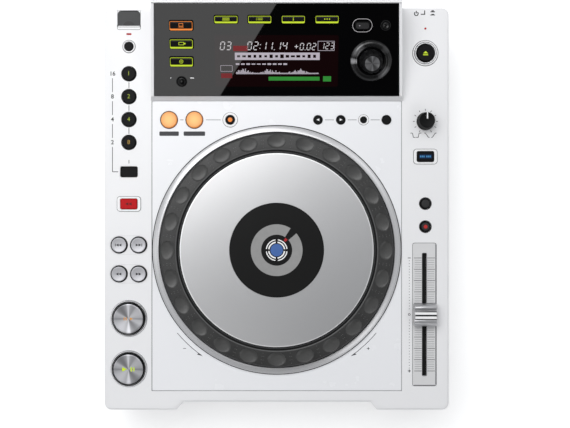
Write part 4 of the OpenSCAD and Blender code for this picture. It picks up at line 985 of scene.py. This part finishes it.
def plain_hood_keys():
    """The outlined back key and the two small round ones."""
    names = ("back", "tag_track", "time_mode")
    back, tag_track, time_mode = (Spot(name + "_button", HOOD) for name in names)
    dress(BLACK_KEY, back.node, tag_track.node, time_mode.node)
    w, h = 2 * back.rx, 2 * back.ry
    outer, inner = rounded(w + 4.4, h + 4.6, 5.7, 10), rounded(w + 3.8, h + 4.0, 5.4, 10)
    Solid().band(outer, inner, 0, 0.15, back.at()).piece("back_outline", SEGMENT_WHITE)
    marks(back, "face", [rounded(w - 1.6, h - 1.6, 2)], BLACK_SOFT_AND_PAINTED_SHADE)
    marks(back, "mark", [bar(1.0, 0.5, -2.4)], SEGMENT_DIM, PRINT_T)
    face_disc(tag_track, "face", 2.6, 0.1, 0.4, GLOSS_BLACK)
    collar(time_mode, "collar", 4.3, 4.9, 0.25, BLACK_SOFT_AND_PAINTED_SHADE, 0.1)
    collar(tag_track, "collar", 3.85, 4.3, 0.25, BLACK_SOFT_AND_PAINTED_SHADE, 0.1)
    face_disc(time_mode, "face", 3.3, 0.15, 0.5, GLOSS_BLACK)
    signs = Solid().plates([bar(w, 0.8, x, 3.1) for w, x in TIME_MODE_SIGNS], time_mode.at())
    signs.piece("time_mode_signs", PRINT_AND_PAINTED_HIGHLIGHT_WHITE)


SEGMENTS = {"0": "abcdef", "1": "bc", "2": "abged", "3": "abgcd", "4": "fgbc"}
SLANT = 0.14


def segment_digit(solid, digit, x, y, w, h, t, at):
    """One slanted digit of seven segments; h is half its height."""
    lines = {"a": (0, 2 * h, w, 2 * h), "b": (w, h, w, 2 * h), "c": (w, 0, w, h), "d": (0, 0, w, 0),
             "e": (0, 0, 0, h), "f": (0, h, 0, 2 * h), "g": (0, h, w, h)}
    for key in SEGMENTS[digit]:
        x0, y0, x1, y1 = lines[key]
        dx, dy = (t * 0.6, 0) if y0 == y1 else (0, t * 0.6)
        line = (x + x0 + dx + SLANT * y0, y + y0 + dy, x + x1 - dx + SLANT * y1, y + y1 - dy)
        solid.strokes([line], t, at)


def seven_segment(solid, text, x, y, height, at):
    """Slanted seven-segment numbers with points, colons and a plus."""
    w, h, t = height * 0.5, height / 2, height * 0.11
    for ch in text:
        if ch in SEGMENTS:
            segment_digit(solid, ch, x, y, w, h, t, at)
            x += w * 1.62
        elif ch == "+":
            reach = w * 0.55
            middle = x + reach
            solid.strokes([(x, y + h, middle + reach, y + h),
                           (middle, y + h - reach, middle, y + h + reach)], t, at)
            x += w * 1.6
        else:
            rises = (0.35 * h, 1.3 * h) if ch == ":" else (0.0,)
            solid.plates([bar(t, t, x + SLANT * rise, y + rise) for rise in rises], at)
            x += w * 0.5


SCREEN_UP = 10.8
SCREEN_T = 0.02
# Numbers on the screen: text, left end, foot and height
SCREEN_NUMBERS = (("03", 1.6, 29.9, 6.7), ("02:11.14", 25, 29.9, 6.7), ("+0.02", 66, 29.8, 5.6),
                  ("123", 88.4, 30.6, 5.2))


def screen():
    """The display behind the window: numbers, bars and level marks, with nothing written."""
    back = rounded(107, 45, 1.5, 4, cy=20)
    Solid().plate(back, 0, SCREEN_T, shift(0, SCREEN_UP, 0, HOOD)).piece("screen_area", SCREEN_BLACK)
    at = shift(box_mm("display_module")[0].x + 5.1, SCREEN_UP, SCREEN_T, HOOD)
    numbers = Solid()
    for text, x, y, height in SCREEN_NUMBERS:
        seven_segment(numbers, text, x, y, height, at)
    numbers.piece("screen_numbers", SEGMENT_WHITE)
    screen_bars(at)
    Solid().plates([bar(12.6, 4.6, 19.2, 31.0), bar(9.6, 4.2, 6.8, 7.2)], at).piece("screen_red", SEGMENT_RED)
    green = Solid().plates([bar(44.5, 3.4, 65.6, 4.6), bar(7.0, 4.6, 94.4, 4.4)], at)
    green.piece("screen_green", SEGMENT_GREEN)
    thin = Solid()
    for w, h, r, x, y, line in ((14.4, 8.4, 0.4, 93.2, 33.2, 0.7), (10.4, 5.4, 0.5, 6.8, 13.6, 0.6)):
        thin.band(rounded(w, h, r, 2, x, y), rounded(w - line, h - line, r - 0.1, 2, x, y), 0, PRINT_T, at)
    thin.piece("screen_frame_small", SEGMENT_DIM)


def screen_bars(at):
    """The bright bar with its dark blocks, the row of dashes under it and the level marks."""
    middle = 24.2
    Solid().plates([bar(73.5, 6.4, 51, middle)], at).piece("screen_bar", SEGMENT_DIM)
    blocks = Solid()
    for i in range(15):
        w, h = random.uniform(2.2, 3.6), random.uniform(1.6, 3.4)
        blocks.plate(bar(w, h, 17.5 + 4.7 * i, middle), PRINT_T, 2 * PRINT_T, at)
    blocks.piece("screen_bar_blocks", SCREEN_BLACK)
    levels = [bar(3.2, random.uniform(0.9, 1.8), 16.5 + 4.6 * i, 17.4) for i in range(10)]
    for i in range(90):
        h = max(random.uniform(1.6, 5.2) * (0.6 + 0.4 * math.sin(i * 0.21)), 1.1)
        levels.append(bar(0.62, h, 15.4 + 0.8 * i, 8.6 + h / 2))
    Solid().plates(levels, at).piece("screen_levels", SEGMENT_DIM)


def fluted(rows, around, share):
    """Layers of a ribbed knob: rows are height, radius and flute depth, share is its part at an angle."""
    turns = [math.tau * i / around for i in range(around)]
    layers = []
    for z, r, deep in rows:
        radii = [r - deep * share(a) for a in turns]
        layers.append(([(radius * math.cos(a), radius * math.sin(a)) for radius, a in zip(radii, turns)], z))
    return layers


SELECTOR_FLUTES = 9
SELECTOR_ROWS = ((1.3, 10.3, 0.0), (2.4, 10.3, 0.0), (2.8, 9.9, 0.9), (11.6, 8.9, 0.9), (12.5, 8.3, 0.6),
                 (13.05, 7.4, 0.2), (13.1, 6.6, 0.0), (12.75, 5.8, 0.0), (12.7, 0.4, 0.0))
SELECTOR_FACE = ((0, 0), (6.4, 0), (6.4, 0.3), (6.2, 0.36), (0, 0.2))


def selector():
    """The ring round the selector and the ribbed knob, the ring and the knob's face with painted sheen
    streaks in their colour.
    """
    at = Spot("selector_knob", HOOD).at()
    r0, r1 = 11.9, 17.9
    profile = [(r0, -0.3), (r1, -0.3), (r1, 1.0), (r1 - 0.5, 2.0), (r1 - 1.6, 2.9), (r1 - 3.0, 3.2),
               (r0 + 1.2, 3.2), (r0 + 0.3, 2.9), (r0, 2.3)]
    black, bright = (0.001, 0.001, 0.001), (0.75, 0.75, 0.77)
    # Painted highlight: one bright streak at the ring's left, in the ring's colour
    dark = cone_with_painted_sheen("selector_ring_black", black, bright, 0.2, 0.4, RING_PAINTED_SHEEN, 0.015)
    Solid().revolve(profile, at, 128).piece("selector_ring", dark, origin=at)
    around = SELECTOR_FLUTES * 16
    layers = fluted(SELECTOR_ROWS, around, lambda a: max(0.0, math.cos(SELECTOR_FLUTES * a)) ** 2)
    piece = Solid().loft(layers, at).piece("selector_cap", BLACK_KEY, "selector_knob", 40, at)
    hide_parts("selector_knob")
    # Painted sheen in the colour of the knob's face
    face = cone_with_painted_sheen("selector_face_black", (0.002, 0.002, 0.002), (0.26, 0.26, 0.27), 0.3, 0.7)
    top = shift(z=SELECTOR_ROWS[-1][0], base=at)
    Solid().revolve(SELECTOR_FACE, top).piece("selector_face", face, "selector_knob", origin=top)


# ---------------------------------------------------------------- speed knob and tempo slider

SPEED_RIBS = 30
SPEED_ROWS = ((0.4, 7.9, 0.0), (1.6, 7.9, 0.0), (2.0, 7.8, 0.28), (11.6, 7.1, 0.28), (12.4, 6.7, 0.1),
              (12.95, 6.0, 0.0), (12.7, 5.2, 0.0), (12.65, 0.3, 0.0))
# Signs under the speed knob: slow and quick changes down and up, as corners in shares of their size
SPEED_SIGNS = (
    (-13.3, ((0.0, 1.0), (0.42, 1.0), (0.58, 0.0), (1.0, 0.0))),
    (-8.2, ((0.0, 0.0), (0.42, 0.0), (0.58, 1.0), (1.0, 1.0))),
    (-0.9, ((0.0, 1.0), (0.2, 1.0), (0.8, 0.0), (1.0, 0.0))),
    (5.2, ((0.0, 0.0), (0.2, 0.0), (0.8, 1.0), (1.0, 1.0))))
SPEED_SIGN_W, SPEED_SIGN_H, SPEED_SIGN_Y = 4.6, 3.8, -14.2


def speed_cap(at):
    """The ribbed knob with its white pointer."""
    layers = fluted(SPEED_ROWS, SPEED_RIBS * 6, lambda a: 0.5 + 0.5 * math.cos(SPEED_RIBS * a))
    piece = Solid().loft(layers, at).piece("speed_cap", BLACK_KEY, "speed_knob", 40)
    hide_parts("speed_knob")
    Solid().plate(bar(1.1, 5.6, 0, 4.0), 12.5, 13.0, at).piece("speed_pointer", PRINT_AND_PAINTED_HIGHLIGHT_WHITE, "speed_knob")


def speed_control():
    """The knob, its eleven ticks and the signs under it."""
    at = Spot("speed_knob", DECK).at()
    speed_cap(at)
    ways = [(math.sin(a), math.cos(a)) for a in (math.radians(30 * i - 150) for i in range(11))]
    scale = Solid().strokes([(9.4 * x, 9.4 * y, 11.0 * x, 11.0 * y) for x, y in ways], 0.5, at)
    for left, shares in SPEED_SIGNS:
        points = [(left + u * SPEED_SIGN_W, SPEED_SIGN_Y + v * SPEED_SIGN_H) for u, v in shares]
        scale.strokes([(*a, *b) for a, b in zip(points, points[1:])], 0.55, at)
    scale.piece("print_speed_scale", PRINT_BLACK)


TEMPO_PLATE_W, TEMPO_PLATE_L = 20.8, 126.2
TEMPO_SLOT_W = 4.0
TEMPO_SCALE_X = -13.4


def tempo_slider():
    at = Spot("slider_knob", DECK).at()
    travel = JOINTS["tempo_slide"]["range_m"][1] / MM
    slot_l = 2 * travel + 8.6
    tempo_plate(at, slot_l)
    tempo_ticks(at, travel)
    tempo_dots(at, travel)
    Solid().plate(rounded(TEMPO_SLOT_W, slot_l, 0.9), -3.4, -2.9, at).piece("slider_dust_strip", SEAM_AND_PAINTED_SHADE_BLACK)
    low, high = box_mm("slider_knob")
    slider_cap(at, high.x - low.x, high.y - low.y, high.z - DECK_Z)


def tempo_plate(at, slot_l):
    """The grey scale plate with its slot, and a darker band of painted shadow along its right and front
    edges.
    """
    w, length = TEMPO_PLATE_W, TEMPO_PLATE_L
    plate, slot = rounded(w, length, 1.8), rounded(TEMPO_SLOT_W, slot_l, 1.0)
    seam, lip = rounded(w + 0.7, length + 0.7, 2.1), rounded(TEMPO_SLOT_W + 0.6, slot_l + 0.6, 1.2)
    Solid().band(plate, slot, -0.59, 0.05, at).piece("slider_plate", PLATE_GREY)
    Solid().band(seam, plate, -0.1, 0.06, at).piece("slider_plate_seam", PRINT_AND_PAINTED_LIGHT_GREY)
    # Painted shadow: darker bands along the right and front edges
    shadow_w = 0.8
    right = bar(shadow_w, length - 2, (w - shadow_w) / 2, 0)
    front = bar(w - 2, shadow_w, 0, -(length - shadow_w) / 2)
    steps = Solid().plate(right, 0.05, 0.08, at).plate(front, 0.05, 0.08, at)
    steps.piece("slider_plate_step", PALE_PRINT_AND_PAINTED_LIGHT)
    Solid().band(lip, slot, 0.04, 0.09, at).piece("slider_slot_lip", PALE_PRINT_AND_PAINTED_LIGHT)


def tempo_ticks(at, travel):
    """Ticks on both sides of the slot, every fifth one longer and darker."""
    fine, strong = Solid(), Solid()
    steps = 50
    for i in range(steps + 1):
        y = travel * (2 * i / steps - 1)
        ticks, reach, width = (fine, 8.6, 0.3) if i % 5 else (strong, 9.2, 0.45)
        ticks.strokes([(side * 2.5, y, side * reach, y) for side in (-1, 1)], width, shift(z=0.06, base=at))
    strong.piece("print_slider_steps", PRINT_AND_PAINTED_LIGHT_GREY)
    fine.piece("print_slider_ticks", PALE_PRINT_AND_PAINTED_LIGHT)


def tempo_dots(at, travel):
    """The dotted scale at the plate's left, with a ring in its middle and plain signs at its ends."""
    x, dots = TEMPO_SCALE_X, 40
    outlines = [circle(0.34, 12, x, travel * (2 * i / dots - 1))
                for i in range(1, dots) if abs(i - dots / 2) > 1.5]
    outlines += [bar(2.6, 0.6, x, travel), bar(2.6, 0.6, x, -travel), bar(0.6, 2.6, x, -travel)]
    signs = Solid().plates(outlines, at).band(circle(1.1, 24, x), circle(0.7, 24, x), 0, PRINT_T, at)
    signs.piece("print_slider_signs", PRINT_BLACK)


# Side view of the slider's cap as shares of its length and height, front to back; the rear half mirrors it
SLIDER_HALF = ((-0.50, 0.04), (-0.50, 0.52), (-0.47, 0.72), (-0.42, 0.88), (-0.37, 0.93), (-0.33, 0.92),
               (-0.29, 0.84), (-0.25, 0.77), (-0.21, 0.76), (-0.18, 0.80), (-0.165, 0.84), (-0.15, 0.85),
               (-0.035, 0.85), (-0.025, 0.80))
SLIDER_SECTION = SLIDER_HALF + tuple((-y, z) for y, z in reversed(SLIDER_HALF))
SLIDER_RIDGE = 0.85
SLIDER_LINE = (0.04, 0.145)
SLIDER_GROOVE = 0.6
SLIDER_EDGE = 0.5
SLIDER_EASE = 0.97


def slider_material():
    """Bright plated plastic, finely brushed from side to side."""
    s = Shader("slider_cap_silver", (0.46, 0.46, 0.47), 0.4, Metallic=0.8)
    s.rough(s.spread(s.noise(150.0, 3.0), 0.36, 0.42))
    s.color(s.mix(s.noise(40.0, 2.0), (0.42, 0.42, 0.43), (0.48, 0.48, 0.49)))
    s.bump(s.noise(1200.0, 2.0), 0.02, 0.04)
    return s.material


def slider_cap(at, w, length, height):
    """A bright cap with two crests and, between them, a ridge with two white lines."""
    section = [(y * length, z * height) for y, z in SLIDER_SECTION]
    foot = section[0][1]
    shrunk = [(y * SLIDER_EASE, foot + (z - foot) * SLIDER_EASE) for y, z in section]
    inner = w / 2 - SLIDER_EDGE
    side_view = at @ Matrix(((0, 0, 1, 0), (1, 0, 0, 0), (0, 1, 0, 0), (0, 0, 0, 1)))
    cap = Solid().loft([(shrunk, -w / 2), (section, -inner), (section, inner), (shrunk, w / 2)], side_view)
    piece = cap.piece("slider_cap", slider_material(), "slider_knob", 40)
    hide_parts("slider_knob")
    slider_details(at, 2 * inner, length, height)


def slider_details(at, w, length, height):
    """White lines on the ridge, black strips of painted shade beside them and in its middle groove, and the
    stem under the cap.
    """
    near, far = (share * length for share in SLIDER_LINE)
    top = SLIDER_RIDGE * height
    lines = Solid()
    # Painted shade: black strips in the middle groove and along the ridge's edges
    groove_shade = Solid().plate(bar(w, 1.6 * near), 0.78 * height, 0.812 * height, at)
    for side in (-1, 1):
        lines.plate(bar(w, far - near, 0, side * (near + far) / 2), top - 0.1, top + 0.08, at)
        groove = bar(w, SLIDER_GROOVE, 0, side * (far + 0.7 * SLIDER_GROOVE))
        groove_shade.plate(groove, top - 0.4, top + 0.02, at)
    lines.piece("slider_lines", PRINT_AND_PAINTED_HIGHLIGHT_WHITE, "slider_knob")
    groove_shade.piece("slider_grooves", SEAM_AND_PAINTED_SHADE_BLACK, "slider_knob")
    Solid().plate(bar(2.8, 7.8), -8.8, 0.8, at).piece("slider_stem", BLACK_SOFT_AND_PAINTED_SHADE, "slider_knob")


# ---------------------------------------------------------------- small things on the columns

# Bars of the plain signs by the power key: width, height and middle
POWER_BARS = ((0.85, 2.3, 0, 1.3), (3.4, 0.85, 5.7, -0.6), (0.85, 3.8, 7.4, 1.0), (4.0, 0.75, 14.5, 1.6),
              (2.2, 0.9, 14.5, 2.5), (4.0, 0.75, 14.5, -1.2), (2.2, 0.9, 14.5, -0.7))


def lenses(usb_stop, eject):
    """The two red lenses and, behind the eject key, the plain power signs."""
    red = Solid().plate(rounded(4.4, 1.6, 0.4, 4, usb_stop.x, usb_stop.y + 11.0), -0.5, 0.2, DECK)
    red.plate(circle(0.95, 24, eject.x, eject.y + 21.8), -0.5, 0.25, DECK)
    red.piece("indicator_lenses", GLOW_RED)
    at = shift(-8.0, 35.0, 0, eject.at())
    power = Solid().plates([bar(*sizes) for sizes in POWER_BARS], at)
    power.revolve(flat_ring(1.2, 2.1, 0, PRINT_T), at, 32, math.radians(130), math.radians(280))
    power.piece("print_power_signs", PRINT_BLACK)


HOLLOW_UP = 1.1


def half_oval(rx, ry):
    """The rear half of an oval, from right to left."""
    turns = [math.pi * i / 24 for i in range(25)]
    return [(rx * math.cos(a), HOLLOW_UP + ry * math.sin(a)) for a in turns]


def usb_flap():
    """The grey cover over the USB well: a painted highlight along its front edge, a nail hollow painted as a
    flat dark patch of shade with a painted highlight round it, and pale rear corners.
    """
    dress(COVER_GREY, "usb_cover")
    low, high = box_mm("usb_cover")
    w = high.x - low.x
    at = shift((low.x + high.x) / 2, low.y, high.z)
    # Painted highlight along the cover's front edge
    edge = Solid().plate(bar(w - 1.0, 0.8, 0, 0.5), -0.1, 0.12, at)
    edge.piece("usb_cover_edge", PRINT_AND_PAINTED_HIGHLIGHT_WHITE, "usb_cover")
    # Painted shade: the nail hollow is a flat dark patch, not a recess
    hollow = Solid().plate(half_oval(5.2, 4.2), -0.1, PRINT_T, at)
    hollow.piece("usb_cover_hollow", BLACK_SOFT_AND_PAINTED_SHADE, "usb_cover")
    # Painted highlight round the nail hollow
    rim = Solid().plate(half_oval(5.5, 4.5) + half_oval(5.115, 4.14)[::-1], 0, PRINT_T * 1.5, at)
    rim.piece("usb_cover_hollow_rim", PRINT_AND_PAINTED_LIGHT_GREY, "usb_cover")
    well = Solid().band(rounded(w + 0.9, 5.2, 1.6, 6), rounded(w + 0.2, 4.5, 1.3, 6), -0.1, PRINT_T * 0.8, at)
    well.piece("usb_well_line", PRINT_AND_PAINTED_LIGHT_GREY)
    cover_corners(at, w / 2, high.y - low.y)


def cover_corners(at, half, back):
    """White fillers that make the cover's rear corners look round."""
    r = 3.2
    turns = [math.pi / 2 * i / 8 for i in range(9)]
    corners = Solid()
    for side in (-1, 1):
        arc = [(side * (half - r * (1 - math.cos(a))), back - r * (1 - math.sin(a))) for a in turns]
        corners.plates([arc + [(side * half, back)]], at)
    corners.piece("usb_cover_corners", CASE_WHITE, "usb_cover")


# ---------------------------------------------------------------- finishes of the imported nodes

FINISHES = (
    (CASE_WHITE, "top_case"), (DECK_WHITE, "deck_panel"), (BASE_WHITE, "bottom_case"),
    (WINDOW_BLACK, "display_window"), (SCREEN_BLACK, "display_module"), (JOG_WINDOW, "jog_display"),
    (BLACK_SOFT_AND_PAINTED_SHADE, "jog_support", "disc_turntable", "optical_pickup"), (BLACK_KEY, "power_button"),
    (BOARD_GREEN, "main_board", "switch_board", "power_board"), (RUBBER, "loading_roller", "rubber_feet"),
    (STEEL, "drive_chassis", "lead_screw", "case_screws", "selector_shaft"), (SOCKET_DARK, "rear_sockets"),
    (spun("platter_spun_aluminium", (0.54, 0.54, 0.545), 0.31, 3000.0, depth=0.05), "jog_platter"))


# ---------------------------------------------------------------- scene, in metres

FLOOR_HALF = 20.0
FLOOR_LIFT = 0.37


def seen_rays(graph):
    """1 for a ray from the camera, off a gloss or through glass, 0 for a ray that only carries light."""
    rays = graph.add("ShaderNodeLightPath").outputs
    seen = graph.maths("MAXIMUM", rays["Is Camera Ray"], rays["Is Glossy Ray"])
    return graph.maths("MAXIMUM", seen, rays["Is Transmission Ray"])


def stage():
    """A white floor that is lifted a little for the eye, and lights the part no more for it."""
    s = Shader("floor_white", (0.86, 0.86, 0.86), 0.9, Specular_IOR_Level=0.0)
    s.bsdf.inputs["Emission Color"].default_value = (1, 1, 1, 1)
    s.links.new(s.maths("MULTIPLY", seen_rays(s), FLOOR_LIFT), s.bsdf.inputs["Emission Strength"])
    floor = bpy.data.meshes.new("floor")
    corners = [(x * FLOOR_HALF, y * FLOOR_HALF, 0) for x, y in ((-1, -1), (1, -1), (1, 1), (-1, 1))]
    floor.from_pydata(corners, [], [(0, 1, 2, 3)])
    floor.materials.append(s.material)
    obj = bpy.data.objects.new("floor", floor)
    bpy.context.scene.collection.objects.link(obj)


# Softboxes: name, place, aim, width and depth, power in watts, turn in degrees about the way they face
SOFTBOXES = (
    ("key", (-0.365, 0.587, 1.2), (-0.365, 0.587, 0), (1.04, 1.04), 12.2, 32.0),
    ("left_strip", (-1.15, -0.10, 1.10), (-0.1, -0.05, 0), (0.3, 0.8), 0.8, 0.0),
    ("right_front_fill", (0.75, -0.85, 1.20), (0.12, -0.20, 0), (0.6, 0.6), 2.2, 0.0),
    ("back_fill", (0.90, 0.75, 1.3), (0.15, 0.1, 0), (0.6, 0.6), 1.9, 0.0),
    ("window_panel", (-0.269, -0.694, 1.6), (-0.269, -0.694, 0), (0.54, 0.36), 1.05, 60.7))


def softbox(name, place, aim, size, power, turn):
    """A rectangular lamp at place that faces aim."""
    light = bpy.data.lights.new(name, "AREA")
    light.shape = "RECTANGLE"
    light.size, light.size_y = size
    light.energy = power
    obj = bpy.data.objects.new(name, light)
    bpy.context.scene.collection.objects.link(obj)
    facing = (Vector(aim) - Vector(place)).to_track_quat("-Z", "Y").to_matrix().to_4x4()
    obj.matrix_world = Matrix.Translation(place) @ facing @ Matrix.Rotation(math.radians(turn), 4, "Z")


WORLD_LEVEL = 0.51
HORIZON_LEVEL = 0.08
HORIZON_END = 0.6
FLAG_AT = (0.0, -0.52, 0.85)
FLAG_LEVEL = 0.02
FLAG_INNER, FLAG_OUTER = math.cos(math.radians(16)), math.cos(math.radians(27))


def studio_world():
    """A pale dome with a dark flag above the front. Its horizon is white to see but lights little."""
    world = bpy.data.worlds.new("studio")
    bpy.context.scene.world = world
    world.use_nodes = True
    graph = Graph(world.node_tree)
    way = graph.add("ShaderNodeTexCoord").outputs["Generated"]
    facing = graph.vector("DOT_PRODUCT", way, Vector(FLAG_AT).normalized())
    dome = graph.spread(facing, WORLD_LEVEL, FLAG_LEVEL, FLAG_OUTER, FLAG_INNER,
                        interpolation_type="SMOOTHSTEP")
    rise = graph.add("ShaderNodeSeparateXYZ")
    graph.links.new(way, rise.inputs[0])
    near_horizon = graph.spread(rise.outputs["Z"], 1.0, 0.0, 0.0, HORIZON_END)
    horizon = graph.spread(seen_rays(graph), HORIZON_LEVEL, 1.0)
    level = graph.add("ShaderNodeMix")
    for socket, value in (("Factor", near_horizon), ("A", dome), ("B", horizon)):
        graph.links.new(value, level.inputs[socket])
    background = graph.nodes["Background"]
    background.inputs["Color"].default_value = (0.95, 0.97, 1.0, 1)
    graph.links.new(level.outputs["Result"], background.inputs["Strength"])


CAMERA_ABOVE_DECK = 0.850
CAMERA_X, CAMERA_Y = 0.0073, -0.0045
PHOTO_PIXEL = 0.885 * MM
PHOTO_WIDTH = 570


def camera():
    """A camera that looks straight down, at the photo's scale on the deck."""
    data = bpy.data.cameras.new("camera")
    data.sensor_width = 36.0
    data.lens = CAMERA_ABOVE_DECK / PHOTO_PIXEL * data.sensor_width / PHOTO_WIDTH
    data.clip_start, data.clip_end = 0.01, 50.0
    obj = bpy.data.objects.new("camera", data)
    bpy.context.scene.collection.objects.link(obj)
    obj.location = (CAMERA_X, CAMERA_Y, JOG.z + CAMERA_ABOVE_DECK)
    bpy.context.scene.camera = obj


for finish, *nodes in FINISHES:
    dress(finish, *nodes)
jog_ring()
ring_studs()
trim_ring()
platter_edge()
jog_display_marks()
keys = deck_spots()
deck_keys(keys)
link_lines(keys)
turn_arrows()
panel_seams()
lit_keys()
plain_hood_keys()
screen()
selector()
speed_control()
tempo_slider()
lenses(keys["usb_stop"], keys["eject"])
usb_flap()
stage()
studio_world()
for settings in SOFTBOXES:
    softbox(*settings)
camera()
bpy.context.scene.view_settings.view_transform = "Standard"
